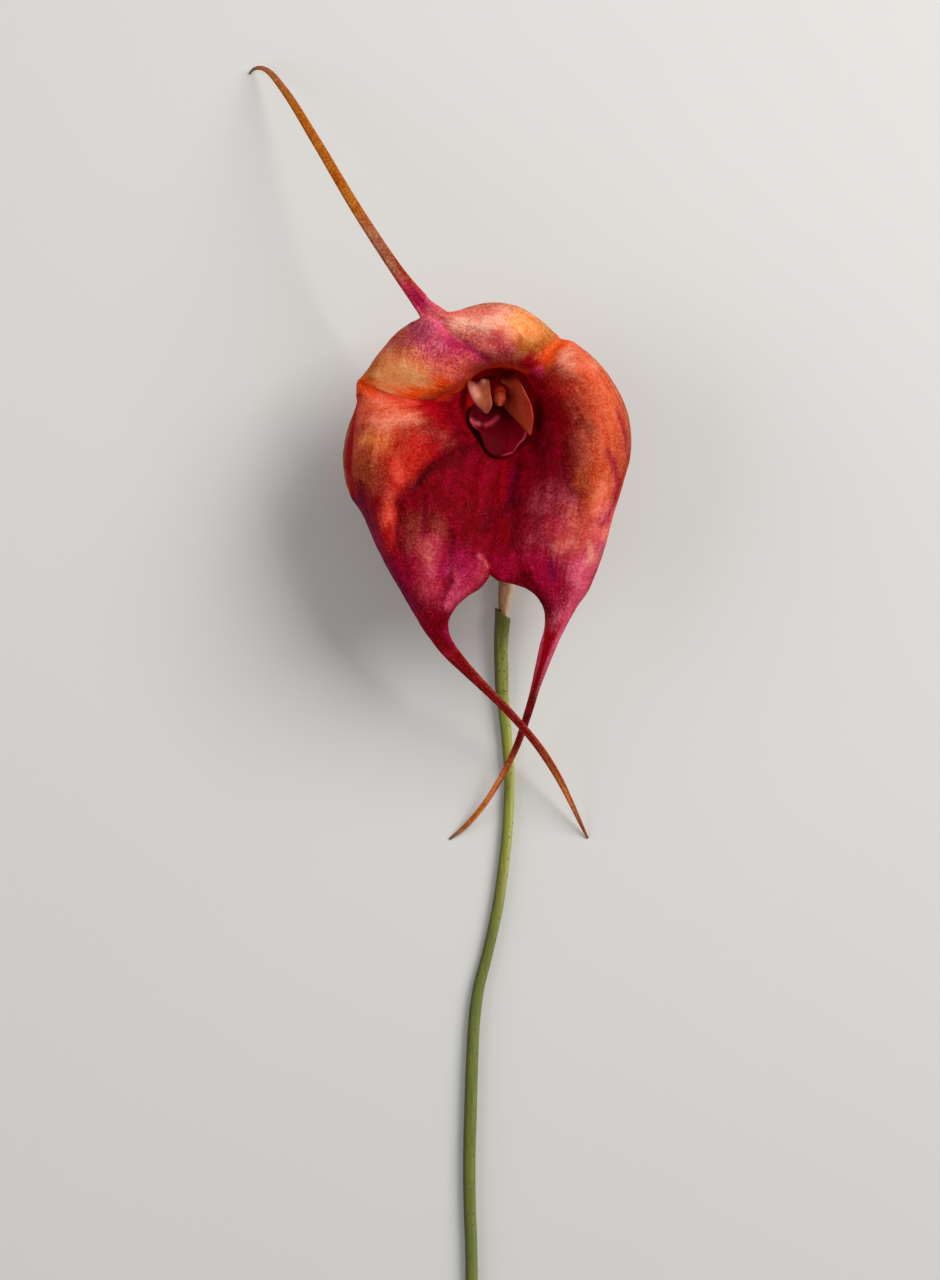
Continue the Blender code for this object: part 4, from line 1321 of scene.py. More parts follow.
    def sheet(self) -> Sheet:
        """Joins the sepals.

        Returns:
            The three as one welded sheet, closed by a fan of faces at the tube's end.
        """
        faces, starts, layers = [], [], []
        total = 0
        for which in Sepal:
            grid, half, s, across = self.sepal_grid(which)
            rows, columns = grid.shape[:2]
            faces.append(grid_faces(rows, columns, total))
            starts.append(total)
            flow = unit(np.gradient(grid, axis=0)).reshape(-1, 3)
            sepal = np.full(rows * columns, which.value)
            layers.append((grid.reshape(-1, 3), half.reshape(-1), np.repeat(s, columns),
                           np.tile(across, rows), sepal, flow))
            total += rows * columns
        fan = [(total, start + i + 1, start + i, start + i) for start in starts for i in range(columns - 1)]
        layers.append((EYE.at([TUBE_END]), [self.middle / 2], [0.0], [0.0], [0], [[0.0, 0.0, 1.0]]))
        points, *others = (np.concatenate(column) for column in zip(*layers))
        faces = np.concatenate([*faces, np.array(fan)])
        keys = np.round(points / WELD).astype(np.int64)
        _, first, index = np.unique(keys, axis=0, return_index=True, return_inverse=True)
        return Sheet(points[first], index.reshape(-1)[faces], *(column[first] for column in others))

    def relief(self, sheet: Sheet) -> None:
        """Raises the folds and a little unevenness on the face, in place.

        Args:
            sheet: the welded sheet.
        """
        places = EYE.seen(sheet.points)
        tail_start = np.array([FORMS[sepal].tail[0][0] for sepal in Sepal])[sheet.sepal]
        on_face = ramp(sheet.s, 3.2, 3.8) * (1 - ramp(sheet.s, tail_start - 1, tail_start))
        rise = sum(fold.height * MM * nearness(places, fold.path, fold.reach) for fold in FOLDS)
        rise += sum(lumps.at(sheet.points) for lumps in self.lumps)
        for depth, size in self.streaks:
            rise += depth * MM * speckle(self.rays(sheet), size, self.streak_seed)
        sheet.raise_by(rise * on_face)

    def rays(self, sheet: Sheet) -> Array:
        """A place for streaks along the veins: one unit is narrow across a sepal and long down it."""
        return np.stack([sheet.t, sheet.s, sheet.sepal], axis=1) * self.ray_scale

    def coat(self, sheet: Sheet) -> Array:
        """The inner side's painted colours.

        Args:
            sheet: the welded sheet, after its relief.

        Returns:
            Linear red, green and blue for each point.
        """
        rays, sepal = self.rays(sheet), sheet.sepal
        drift = speckle(rays, 1.6, 11.0) + 0.6 * speckle(rays, 0.7, 12.0)
        cloud = np.stack([speckle(sheet.points, self.cloud, seed) for seed in (11.0, 17.0)], axis=1)
        shift = sheet.flow * (drift * self.drift)[:, None]
        ground = np.array([Hue.SALMON.rgb, Hue.CLARET.rgb, Hue.CLARET.rgb])[sepal]
        wall = np.array([Hue.WALL_FLAME.rgb, Hue.WALL_RED.rgb, Hue.WALL_RED.rgb])[sepal]
        ground = over(ground, wall, ramp(sheet.s, 4.1, 3.3))
        # Painted glow: bright red deep in the tube, where the wall lies in shade
        ground = over(ground, Hue.GLOW, ramp(sheet.s, 3.0, 2.5))
        face = ramp(sheet.s, 3.1, 3.7)
        for wash in WASHES:
            # Noise draws a stroke's edge out along the veins, a small stroke's less
            places = EYE.seen(sheet.points + shift * min(1.0, wash.reach / 9)) + self.cloud_px * cloud
            ground = over(ground, wash.hue, wash.cover(places) * wash.is_on(sepal) * face)
        for which, form in FORMS.items():
            mine = np.flatnonzero(sepal == which.value)
            s, lit_t = sheet.s[mine], sheet.t[mine] * form.lit_edge
            # The tails' margins take the edge hue: partly their own colour, and painted light that is
            # strongest on the lit edge
            edge = np.maximum(ramp(lit_t, 0.35, 0.85), 0.45 * ramp(lit_t, -0.6, -1.0))
            tail = over(form.tail_colour(s, 1), form.tail_colour(s, 2), edge)
            start = form.tail_hues[0][0]
            ground[mine] = over(ground[mine], tail, ramp(s - 0.3 * drift[mine], start, start + 0.7))
        return np.clip(ground, 0, 1)

    def back(self, sheet: Sheet, inner: Array) -> Array:
        """The outer side's colours: tan and rust, redder towards the margins and the tails.

        Args:
            sheet: the welded sheet.
            inner: the inner side's colours.

        Returns:
            Linear red, green and blue for each point.
        """
        warm = 0.5 + 0.5 * speckle(sheet.points, 6 * MM, 21.0)
        ground = over(Hue.TAN.rgb, Hue.OCHRE, warm)
        ground = over(ground, Hue.BRICK, 0.5 * ramp(sheet.s, 3, 7))
        ground = over(ground, Hue.OLIVE_GOLD, ramp(sheet.s, 2.5, 0))
        return ground + (inner - ground) * self.show_through

    def marked(self, sheet: Sheet, marks: tuple[Wash, ...]) -> Array:
        """The strongest of these marks on each point of the sheet."""
        places = EYE.seen(sheet.points)
        return np.max([mark.cover(places) * mark.is_on(sheet.sepal) for mark in marks], axis=0)

    def build(self) -> bpy.types.Object:
        """Makes the calyx and gives it the attributes that its finish and the papillae read.

        Returns:
            The piece.
        """
        sheet = self.sheet()
        self.relief(sheet)
        inner = self.coat(sheet)
        outer = self.back(sheet, inner)
        shell = thicken(sheet)
        source, side = shell.source, shell.side[:, None]
        colours = np.where(side > 0, inner[source], outer[source])
        colours = np.where(side == 0, (inner[source] + outer[source]) / 2, colours)
        piece = shell.piece("calyx", self.finish, colours)
        net, dots = (self.marked(sheet, marks) * ramp(sheet.s, 3.5, 4.0) for marks in (NET, DOTS))
        marks = np.stack([net, dots, np.zeros(len(net))], axis=1)
        carry(piece, "marks", marks[source] * (side > 0))
        carry(piece, "rays", self.rays(sheet)[source])
        papillae = self.marked(sheet, PAPILLAE) * (sheet.s > 3.8)
        carry(piece, "papillae", papillae[source] * (shell.side > 0))
        hand_in(piece, "sepals", "sepals")
        return piece


class Growth:
    """What the geometry node groups share: named inputs and one realised result with its finish."""

    name = "growth"
    inputs: dict[str, str] = {}

    def build(self) -> Tree:
        """Makes the group.

        Returns:
            The group, with the nodes that shape adds.
        """
        tree = bpy.data.node_groups.new(self.name, "GeometryNodeTree")
        for label, kind in self.inputs.items():
            tree.interface.new_socket(label, in_out="INPUT", socket_type=f"NodeSocket{kind}")
        tree.interface.new_socket("Result", in_out="OUTPUT", socket_type="NodeSocketGeometry")
        given = put(tree, "NodeGroupInput").outputs
        real = put(tree, "GeometryNodeRealizeInstances", {"Geometry": self.shape(tree, given)})
        finish = {"Geometry": real, "Material": given["Finish"]}
        put(tree, "NodeGroupOutput", {"Result": put(tree, "GeometryNodeSetMaterial", finish)})
        return tree

    def shape(self, tree: Tree, given: bpy.types.NodeOutputs) -> Node:
        """Adds the group's own nodes and gives the last of them."""
        raise NotImplementedError


class PapillaTree(Growth):
    """Geometry nodes that stand small round papillae on a skin, where its papillae attribute says."""

    name = "papillae_on_skin"
    inputs = {
        "Skin": "Geometry", "Per square metre": "Float", "Smallest": "Float", "Largest": "Float",
        "Seed": "Int", "Finish": "Material",
    }

    def shape(self, tree: Tree, given: bpy.types.NodeOutputs) -> Node:
        """Scatters points and sets a bead on each.

        Args:
            tree: the group.
            given: its inputs.

        Returns:
            The node with the beads.
        """
        share = put(tree, "GeometryNodeInputNamedAttribute", {"Name": "papillae"}, data_type="FLOAT")
        density = maths(tree, "MULTIPLY", share.outputs["Attribute"], given["Per square metre"])
        scatter = {"Mesh": given["Skin"], "Density": density, "Seed": given["Seed"]}
        spread = put(tree, "GeometryNodeDistributePointsOnFaces", scatter, distribute_method="RANDOM")
        sizes = {2: given["Smallest"], 3: given["Largest"], "Seed": given["Seed"]}
        size = put(tree, "FunctionNodeRandomValue", sizes, data_type="FLOAT")
        return put(tree, "GeometryNodeInstanceOnPoints", {
            "Points": spread.outputs["Points"],
            "Instance": put(tree, "GeometryNodeMeshIcoSphere", {"Radius": 1.0, "Subdivisions": 1}),
            "Rotation": spread.outputs["Rotation"],
            "Scale": size.outputs[1],
        })


class RodTree(Growth):
    """Geometry nodes that sweep a round or ribbed section along a line of points."""

    name = "rod_along_line"
    inputs = {
        "Line": "Geometry", "Sides": "Int", "Ribs": "Float", "Rib depth": "Float", "Finish": "Material",
    }

    def shape(self, tree: Tree, given: bpy.types.NodeOutputs) -> Node:
        """Sweeps a circle, pressed in between its ribs, with the girth that each point carries.

        Args:
            tree: the group.
            given: its inputs.

        Returns:
            The node with the rod and its caps.
        """
        curve = put(tree, "GeometryNodeMeshToCurve", {"Mesh": given["Line"]})
        girth = put(tree, "GeometryNodeInputNamedAttribute", {"Name": "girth"}, data_type="FLOAT")
        circle = put(tree, "GeometryNodeCurvePrimitiveCircle", {"Resolution": given["Sides"], "Radius": 1.0})
        turn = put(tree, "GeometryNodeSplineParameter").outputs["Factor"]
        angle = maths(tree, "MULTIPLY", maths(tree, "MULTIPLY", turn, given["Ribs"]), 2 * math.pi)
        wave = maths(tree, "SUBTRACT", maths(tree, "COSINE", angle), 1.0)
        reach = maths(tree, "MULTIPLY_ADD", maths(tree, "MULTIPLY", wave, given["Rib depth"]), 0.5, 1.0)
        spot = {0: put(tree, "GeometryNodeInputPosition"), "Scale": reach}
        ribbed = put(tree, "ShaderNodeVectorMath", spot, operation="SCALE")
        profile = put(tree, "GeometryNodeSetPosition", {"Geometry": circle, "Position": ribbed})
        return put(tree, "GeometryNodeCurveToMesh", {
            "Curve": curve, "Profile Curve": profile, "Scale": girth.outputs["Attribute"], "Fill Caps": True,
        })


def grow(host: bpy.types.Object, tree: Tree, name: str, **inputs) -> bpy.types.Object:
    """Runs a geometry tree on an object and keeps the result as a plain smooth mesh.

    Args:
        host: the object that the tree reads.
        tree: the geometry nodes.
        name: the new piece's name.
        inputs: a value for each named input, with _ for a space.

    Returns:
        The new object; the host loses the modifier again.
    """
    modifier = host.modifiers.new(name, "NODES")
    modifier.node_group = tree
    for item in tree.interface.items_tree:
        key = item.name.replace(" ", "_")
        if item.in_out == "INPUT" and key in inputs:
            modifier[item.identifier] = inputs[key]
    graph = bpy.context.evaluated_depsgraph_get()
    mesh = bpy.data.meshes.new_from_object(host.evaluated_get(graph), depsgraph=graph)
    host.modifiers.remove(modifier)
    mesh.name = name
    # Slots that the host left empty come before the finish
    while mesh.materials[0] is None:
        mesh.materials.pop(index=0)
    mesh.polygons.foreach_set("material_index", np.zeros(len(mesh.polygons), np.int32))
    mesh.shade_smooth()
    return link(name, mesh)


@dataclass
class Papillae:
    """The pale glistening papillae on the sepals' inner skin."""

    per_square_metre: float = 0.55e6
    smallest: float = 0.05 * MM
    largest: float = 0.1 * MM
    seed: int = 7
    pale_glint_gain: float = 1.4
    lift: tuple[float, float, float] = (0.12, 0.012, 0.06)
    finish: PaintedTissue = PaintedTissue(
        name="glistening_papilla", cell_mm=0.8, long_mm=0.8, roughness=0.45, shine=0.08, bump=0.0)

    def build(self, calyx: bpy.types.Object) -> None:
        """Scatters the papillae on the calyx, each in a lighter tone of the coat under it: partly their own
        paleness, partly painted glints.

        Args:
            calyx: the calyx, with its papillae attribute.
        """
        piece = grow(
            calyx, PapillaTree().build(), "sepal_papillae", Per_square_metre=self.per_square_metre,
            Smallest=self.smallest, Largest=self.largest, Seed=self.seed, Finish=self.finish.material())
        layers = piece.data.attributes
        for name in ("marks", "rays", "papillae"):
            layers.remove(layers[name])
        coat = layers["coat"].data
        colours = np.zeros((len(coat), 4), np.float32)
        coat.foreach_get("color", colours.ravel())
        # Lighter than the coat: the papillae's own paleness plus painted glints
        colours[:, :3] = colours[:, :3] * self.pale_glint_gain + self.lift
        coat.foreach_set("color", colours.ravel())
        hand_in(piece, "sepals")


@dataclass
class Petal:
    """One of the two small petals beside the column."""

    name: str
    outer: Stations
    inner: Stations
    keel: float
    keel_at: float
    hues: tuple[Hue, Hue, Hue]
    edge_path: Path
    washes: Sequence[Wash]
    notch: Sequence[tuple[float, float]] = ()
    notch_reach: tuple[float, float] = (0.16, 0.13)
    pixel: float = 0.21 * MM
    thickness: float = 0.7 * MM
    rough: Lumps = Lumps(0.05, 0.9, 4)
    rows: int = 56
    columns: int = 32
    finish: PaintedTissue = PaintedTissue(
        name="waxy_petal_tissue", cell_mm=0.45, long_mm=1.4, contrast=0.16, roughness=0.45)

    def build(self, node: str) -> None:
        """Makes a blade between two edges, raised along a keel, paler on its lit half.

        Args:
            node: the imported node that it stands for.
        """
        along = np.linspace(0, 1, self.rows)
        across = np.linspace(0, 1, self.columns + 1)
        edges = [spline(np.linspace(0, 1, len(e)), EYE.at(e), along) for e in (self.outer, self.inner)]
        f = across[None, :, None]
        grid = edges[0][:, None] * (1 - f) + edges[1][:, None] * f
        wide, long = self.notch_reach
        for place, depth in self.notch:
            bend = bell(across, place, wide)[None, :] * bell(along, 0.5, long)[:, None]
            grid[:, :, 1] -= bend * depth * self.pixel
        normal = unit(np.cross(edges[1] - edges[0], np.gradient((edges[0] + edges[1]) / 2, axis=0)))
        ridge = np.where(across < self.keel_at, across / self.keel_at, (1 - across) / (1 - self.keel_at))
        swell = np.sin(np.pi * ridge / 2)[None, :] * np.sin(np.pi * np.clip(along * 1.05, 0, 1))[:, None]
        grid = grid + normal[:, None] * (swell * self.keel)[..., None]
        half = self.thickness / 2 * (0.5 + 0.5 * np.sin(np.pi * across))
        shell, s, t = blade(grid, half, along, across, self.rough)
        places = EYE.seen(shell.points)
        # Painted light and shade: the lit hue on one side of the keel, the shade hue on the other; the edge
        # hue is partly the margin's own colour, partly painted light
        lit, shade, edge = self.hues
        uneven = t - self.keel_at + 0.2 * speckle(shell.points, 1.0 * MM, 2.0)
        colours = over(lit.rgb, shade, ramp(uneven, -0.3, 0.3))
        rim = ramp(np.minimum(t, 1 - t), 0.12, 0.0)
        colours = over(colours, edge, rim * nearness(places, self.edge_path, 5))
        for wash in self.washes:
            colours = over(colours, wash.hue, wash.cover(places))
        # Painted shade: claret towards the base, deep in the tube
        colours = over(colours, Hue.CLARET, ramp(s, 0.36, 0.16))
        hand_in(shell.piece(self.name, self.finish, colours), "petals", node)


@dataclass
class Lip:
    """The dark tongue-shaped lip, hinged at the column's foot."""

    midline: Stations = (
        (500.5, 393, 11.2), (500.5, 404, 13.2), (500, 420, 15.8), (503, 434, 17.9),
        (503.5, 446, 19.3), (506, 454.5, 19.4),
    )
    half_widths: tuple[float, ...] = (0.8, 2.1, 6.1, 5.3, 3.9, 1.5)
    cup: tuple[float, ...] = (0.1, 0.6, 4.1, 2.9, 1.2, 0.2)
    thickness: float = 0.9 * MM
    keel: float = 0.3 * MM
    keel_at: float = 0.3
    keel_reach: float = 0.13
    rough: Lumps = Lumps(0.07, 0.7, 9)
    rows: int = 70
    columns: int = 48
    # Painted highlights on the left keel, on the rim where the shine strokes fall and on the left margin
    ridge: Wash = Wash(Hue.ROSE, 2.2, 0.7, ((486, 425), (491, 423), (498, 417)))
    shine: tuple[Wash, Wash] = (
        Wash(Hue.ROSE, 6, 1.0, ((508, 453), (518, 447), (524, 438))), Wash(Hue.ROSE, 7, 0.6, ((473, 422),)),
    )
    margin_highlight: Wash = Wash(Hue.LIT_ROSE, 2.0, 0.5, ((471, 420), (475, 423), (479, 424)))
    finish: PaintedTissue = PaintedTissue(
        name="fleshy_lip_tissue", cell_mm=0.35, long_mm=0.35, contrast=0.3, roughness=0.6, shine=0.03,
        bump=0.5)

    def build(self) -> None:
        """Makes a cupped tongue with two low keels, and painted highlights on a keel, the rim and the left
        margin.
        """
        along = np.linspace(0, 1, self.rows)
        across = np.linspace(-1, 1, self.columns + 1)
        knots = np.linspace(0, 1, len(self.midline))
        middle = spline(knots, EYE.at(self.midline), along)
        sizes = (self.half_widths, self.cup)
        width, cup = (spline(knots, np.array(size)[:, None] * MM, along) for size in sizes)
        side, up = side_and_up(middle)
        f = across[None, :, None]
        grid = middle[:, None] + (side * width)[:, None] * f + (up * cup)[:, None] * f * f
        keels = bell(np.abs(across), self.keel_at, self.keel_reach)[None, :]
        keels = keels * np.sin(np.pi * np.clip(along * 1.3 - 0.1, 0, 1))[:, None]
        grid = grid + up[:, None] * (keels * self.keel)[..., None]
        half = self.thickness / 2 * (1 - 0.5 * across**4)
        shell, s, t = blade(grid, half, along, across, self.rough)
        places = EYE.seen(shell.points)
        # Painted shade darkens its left, towards t = 1, and painted light brightens its right, which the
        # right petal shades
        colours = over(Hue.WINE.rgb, Hue.WINE.rgb * 0.75, ramp(t, -0.1, 0.4))
        colours = over(colours, Hue.WINE.rgb * 1.5, ramp(t, -0.1, -0.6))
        colours = over(colours, self.ridge.hue, self.ridge.cover(places))
        rim = np.maximum(ramp(np.abs(t), 0.9, 1.0), ramp(s, 0.965, 1.0))
        shine = np.max([wash.cover(places) for wash in self.shine], axis=0)
        colours = over(colours, Hue.ROSE, rim * shine)
        colours = over(colours, self.margin_highlight.hue, self.margin_highlight.cover(places))
        hand_in(shell.piece("lip_tongue", self.finish, colours), "lip", "lip")


@dataclass
class Rod:
    """A round piece along a line: part of the stem, the column or the anther cap."""

    name: str
    stations: Stations
    count: int
    finish: Finish
    sides: int = 36
    profile: Profile = Profile.ROUND
    lumps: float = 0.03
    lump_mm: float = 2.5
    bevel: float = 0.12 * MM
    bevel_steps: tuple[float, ...] = (0.0, 0.3, 0.8, 1.5)
    bevel_radii: tuple[float, ...] = (0.86, 0.93, 0.975, 0.995)

    def line(self) -> tuple[Array, Array]:
        """Sets the rod's rings, closer at both ends, so that the edge of each cap is soft.

        Returns:
            Points and radii along a smooth line through the stations.
        """
        rows = lay(self.stations, self.count)
        points, radii = rows[:, :3], rows[:, 3]
        start, end = unit(points[1] - points[0]), unit(points[-1] - points[-2])
        steps = np.array(self.bevel_steps)[:, None] * self.bevel
        shrink = np.array(self.bevel_radii)
        inner = slice(1, -1)
        points = np.concatenate([points[0] + start * steps, points[inner], points[-1] - end * steps[::-1]])
        return points, np.concatenate([radii[0] * shrink, radii[inner], radii[-1] * shrink[::-1]])

    def build(self, tree: Tree, coat: Coat, path: tuple[Array, Array] | None = None) -> bpy.types.Object:
        """Sweeps the rod and paints it.

        Args:
            tree: the rod's geometry nodes.
            coat: gives colours from the points and from their place across, -1 left to 1 right.
            path: points and radii that take the place of the stations' own line.

        Returns:
            The piece.
        """
        points, radii = path or self.line()
        host = link("line_host", bpy.data.meshes.new("line_host"))
        host.data.from_pydata(points.tolist(), [(i, i + 1) for i in range(len(points) - 1)], [])
        carry(host, "girth", radii)
        ribs, depth = self.profile.value
        piece = grow(host, tree, self.name, Sides=self.sides, Ribs=float(ribs), Rib_depth=depth,
                     Finish=self.finish.material())
        bpy.data.objects.remove(host)
        vertices = piece.data.vertices
        spots = np.zeros((len(vertices), 3), np.float32)
        vertices.foreach_get("co", spots.ravel())
        spots = spots.astype(float)
        nearest = np.argmin(((spots[:, None] - points[None]) ** 2).sum(axis=2), axis=1)
        lumpy = 1 - self.lumps * (0.5 + 0.5 * speckle(spots, self.lump_mm * MM, 13.0))
        spots = points[nearest] + (spots - points[nearest]) * lumpy[:, None]
        vertices.foreach_set("co", spots.astype(np.float32).ravel())
        across = (spots[:, 0] - points[nearest, 0]) / np.maximum(radii[nearest], 1e-6)
        paint(piece, coat(spots, across))
        return piece


@dataclass
class Column:
    """The column with its foot, and the anther cap at its tip."""

    body: Stations = (
        (498, 371.5, 9.45, 1.1), (498.5, 377, 12.0, 1.05), (499, 385, 14.8, 1.1),
        (499.5, 391.5, 16.8, 1.35), (500, 394, 17.6, 1.3),
    )
    foot: Stations = ((498.3, 374, 10.9, 0.7), (499.5, 382, 10.85, 0.65), (500.4, 390.5, 10.8, 0.6))
    cap: Stations = (
        (499.8, 395.0, 17.85, 1.2), (499.6, 396.8, 18.4, 1.55), (499.5, 399.5, 19.2, 1.55),
        (499.7, 402.2, 19.6, 1.2),
    )
    finish: PaintedTissue = PaintedTissue(
        name="waxy_column_tissue", cell_mm=0.4, long_mm=0.4, contrast=0.15, roughness=0.5)

    def paint_body(self, points: Array, across: Array) -> Array:
        """Orange red, with a painted glow that reddens it down in the tube."""
        return over(Hue.WALL_FLAME.rgb, Hue.GLOW, ramp(points[:, 2] / MM, 16, 10))

    def paint_cap(self, points: Array, across: Array) -> Array:
        """Orange brown, with a painted highlight on its left shoulder."""
        return over(Hue.PETAL_RED.rgb, Hue.CORAL, 0.3 * ramp(across, 0.6, -0.4))

    def build(self, tree: Tree) -> None:
        """Makes the column, its foot and its cap.

        Args:
            tree: the rods' geometry nodes.
        """
        body = Rod("column_body", self.body, 40, self.finish, sides=40, lumps=0.05)
        foot = Rod("column_foot", self.foot, 20, self.finish, sides=24, lumps=0.03)
        cap = Rod("anther_cap_bead", self.cap, 24, self.finish, sides=32, lumps=0.35, bevel=0.4 * MM)
        hand_in(body.build(tree, self.paint_body), "column", "column")
        hand_in(foot.build(tree, self.paint_body), "column")
        hand_in(cap.build(tree, self.paint_cap), "anther_cap", "anther_cap")


@dataclass
class Stem:
    """The ovary, pedicel, floral bract and scape."""

    ovary: Stations = (
        (499, 384.5, 2.05, 2.0), (500, 400, 2.05, 2.1), (501.5, 415, 2.0, 2.05), (503, 430, 1.9, 1.9),
    )
    pedicel: Stations = (
        (503, 427.5, 1.88, 1.78), (503.2, 431.6, 1.87, 1.85), (505.5, 460, 1.83, 1.8), (508, 510, 1.84, 1.8),
        (508.4, 550, 1.88, 1.85), (507, 583, 1.82, 1.8), (505.2, 598, 1.7, 1.56),
        (504, 610, 1.72, 1.15), (502, 626, 1.56, 0.9), (500.9, 654, 1.35, 0.85), (501.8, 688, 1.35, 0.85),
    )
    scape: Stations = (
        (501.9, 689.4, 1.35, 1.35), (504, 711, 1.3, 1.27), (507.3, 744, 1.17, 1.17),
        (509.2, 775, 1.14, 1.14), (508.8, 805, 1.14, 1.14), (506.8, 836, 1.18, 1.18),
        (504, 862, 1.2, 1.2), (498, 905, 1.22, 1.22), (488.3, 950, 1.2, 1.2),
        (477.5, 994, 1.27, 1.27), (474.2, 1021, 1.3, 1.3), (472.3, 1055, 1.35, 1.35),
        (470.5, 1110, 1.4, 1.4), (469.2, 1168, 1.37, 1.37), (469.8, 1208, 1.36, 1.36),
        (471.2, 1248, 1.35, 1.35), (471.5, 1300, 1.36, 1.36), (470.5, 1350, 1.4, 1.4),
        (469, 1395, 1.42, 1.42),
    )
    bract: Stations = (
        (502, 691.5, 1.42, 1.28), (501.8, 687.6, 1.45, 1.33), (501.4, 670, 1.47, 1.36),
        (500.9, 654, 1.5, 1.38), (501.3, 636, 1.55, 1.44), (502.6, 620, 1.69, 1.58), (503.6, 609, 1.88, 1.76),
    )
    bend_radius: float = 4.1 * MM
    bend_tilt: float = math.radians(32)
    bend_steps: int = 30
    bend_girth: tuple[float, float] = (1.8 * MM, 2.0 * MM)
    bend_end: tuple[float, ...] = (0.88, 0.95, 0.985)
    foot_shade: tuple[float, float, float] = (0.34, 0.33, 0.2)
    bract_wall: float = 0.2 * MM
    bract_open_side: float = 0.12
    bract_rows: int = 44
    bract_sides: int = 40
    bract_ribs: int = 10
    bract_rib_depth: float = 0.012
    skin: PaintedTissue = PaintedTissue(
        name="stem_skin", cell_mm=0.5, long_mm=7.0, contrast=0.16, roughness=0.5, spot=Hue.STEM_PURPLE,
        spot_mm=1.3, spot_share=0.1)
    sheath: PaintedTissue = PaintedTissue(
        name="thin_bract_sheath", cell_mm=0.4, long_mm=5.0, contrast=0.22, roughness=0.6,
        spot=Hue.STEM_PURPLE, spot_share=0.2)

    def paint_green(self, points: Array, across: Array) -> Array:
        """Olive green, yellower where it comes out from under the tails, with painted shade on its left flank
        and at its foot and painted light on its right flank.

        Args:
            points: the points to paint.
            across: their place across the stem, -1 left to 1 right.

        Returns:
            Linear red, green and blue for each point.
        """
        down = EYE.seen(points)[:, 1]
        yellow = ramp(down, 690, 750) * (1 - ramp(down, 850, 970))
        ground = over(Hue.STEM_GREEN.rgb, Hue.OLIVE_GOLD, 0.18 * yellow)
        # Painted shade on the left flank and painted light on the right, where the key light falls
        ground = over(ground, Hue.STEM_DARK, 0.85 * ramp(across, -0.15, -0.95))
        ground = over(ground, Hue.STEM_PALE, ramp(across, 0, 0.7) * (0.3 + 0.35 * yellow))
        low = ramp(down, 790, 960)[:, None] * np.array(self.foot_shade)
        return ground * (1 + 0.15 * yellow[:, None] - low)

    def paint_tan(self, points: Array, across: Array) -> Array:
        """Tan above the bract, with painted light making its right flank cream, and its left purple-brown,
        partly its own specks and partly painted shade.
        """
        ground = over(Hue.STEM_TAN.rgb, Hue.STEM_CREAM, 0.9 * ramp(across, 0.05, 0.55))
        return over(ground, Hue.STEM_PURPLE, 0.75 * ramp(across, -0.2, -0.9))

    def ovary_path(self, rod: Rod) -> tuple[Array, Array]:
        """Leads the ovary down from the tube's end round a bend, and then along the floor.

        Args:
            rod: the ovary, along the floor only.

        Returns:
            Points and radii.
        """
        points, radii = rod.line()
        steps = np.arange(self.bend_steps, 0, -1) / self.bend_steps
        angles = (math.pi / 2 + self.bend_tilt) * steps
        arc = np.stack([np.zeros(len(steps)), np.sin(angles), 1 - np.cos(angles)], axis=1)
        thin, thick = self.bend_girth
        girth = thick - (thick - thin) * steps
        girth[: len(self.bend_end)] *= self.bend_end
        # The bend takes the place of the rod's own rounded start
        keep = slice(len(rod.bevel_steps), None)
        return (np.concatenate([points[0] + self.bend_radius * arc, points[keep]]),
                np.concatenate([girth, radii[keep]]))

    def build_bract(self) -> None:
        """Makes a thin sheath round the pedicel's foot, slanting to a point on its left."""
        rows, sides = self.bract_rows, self.bract_sides
        line = lay(self.bract, rows)
        side, up = side_and_up(line[:, :3])
        grid = np.zeros((rows, sides, 3))
        for j in range(sides):
            angle = 2 * math.pi * j / sides
            reach = 1 - self.bract_open_side * (1 + math.cos(angle)) / 2
            ribbed = 1 + self.bract_rib_depth * math.cos(self.bract_ribs * angle)
            column = line[:, :3] + (side * math.cos(angle) + up * math.sin(angle)) * line[:, 3:] * ribbed
            grid[:, j] = spline(np.linspace(0, 1, rows), column, np.linspace(0, reach, rows))
        index = np.arange(rows * sides).reshape(rows, sides)
        after = np.roll(index, -1, axis=1)
        faces = np.stack([index[:-1], after[:-1], after[1:], index[1:]], axis=-1).reshape(-1, 4)
        shell = thicken(Sheet(grid.reshape(-1, 3), faces, np.full(rows * sides, self.bract_wall / 2)))
        centre = line[shell.source // sides]
        across = (shell.points[:, 0] - centre[:, 0]) / centre[:, 3]
        mouth = ramp(EYE.seen(shell.points)[:, 1], 662, 622)
        colours = over(self.paint_green(shell.points, across), Hue.STEM_DARK.rgb * 0.9, 0.65 * mouth)
        # Purple-brown left flank: partly its own specks, partly painted shade
        colours = over(colours, Hue.STEM_PURPLE, 0.55 * ramp(across, -0.3, -0.9))
        hand_in(shell.piece("bract_sheath", self.sheath, colours), "floral_bract", "floral_bract")

    def build(self, tree: Tree) -> None:
        """Makes the four pieces of the stem.

        Args:
            tree: the rods' geometry nodes.
        """
        ovary = Rod("ovary_body", self.ovary, 30, self.skin, sides=48, profile=Profile.RIBBED)
        hand_in(ovary.build(tree, self.paint_tan, self.ovary_path(ovary)), "ovary", "ovary")
        pedicel = Rod("pedicel_stalk", self.pedicel, 120, self.skin)
        hand_in(pedicel.build(tree, self.paint_tan), "pedicel", "pedicel")
        scape = Rod("scape_stalk", self.scape, 260, self.skin)
        hand_in(scape.build(tree, self.paint_green), "scape", "scape")
        self.build_bract()


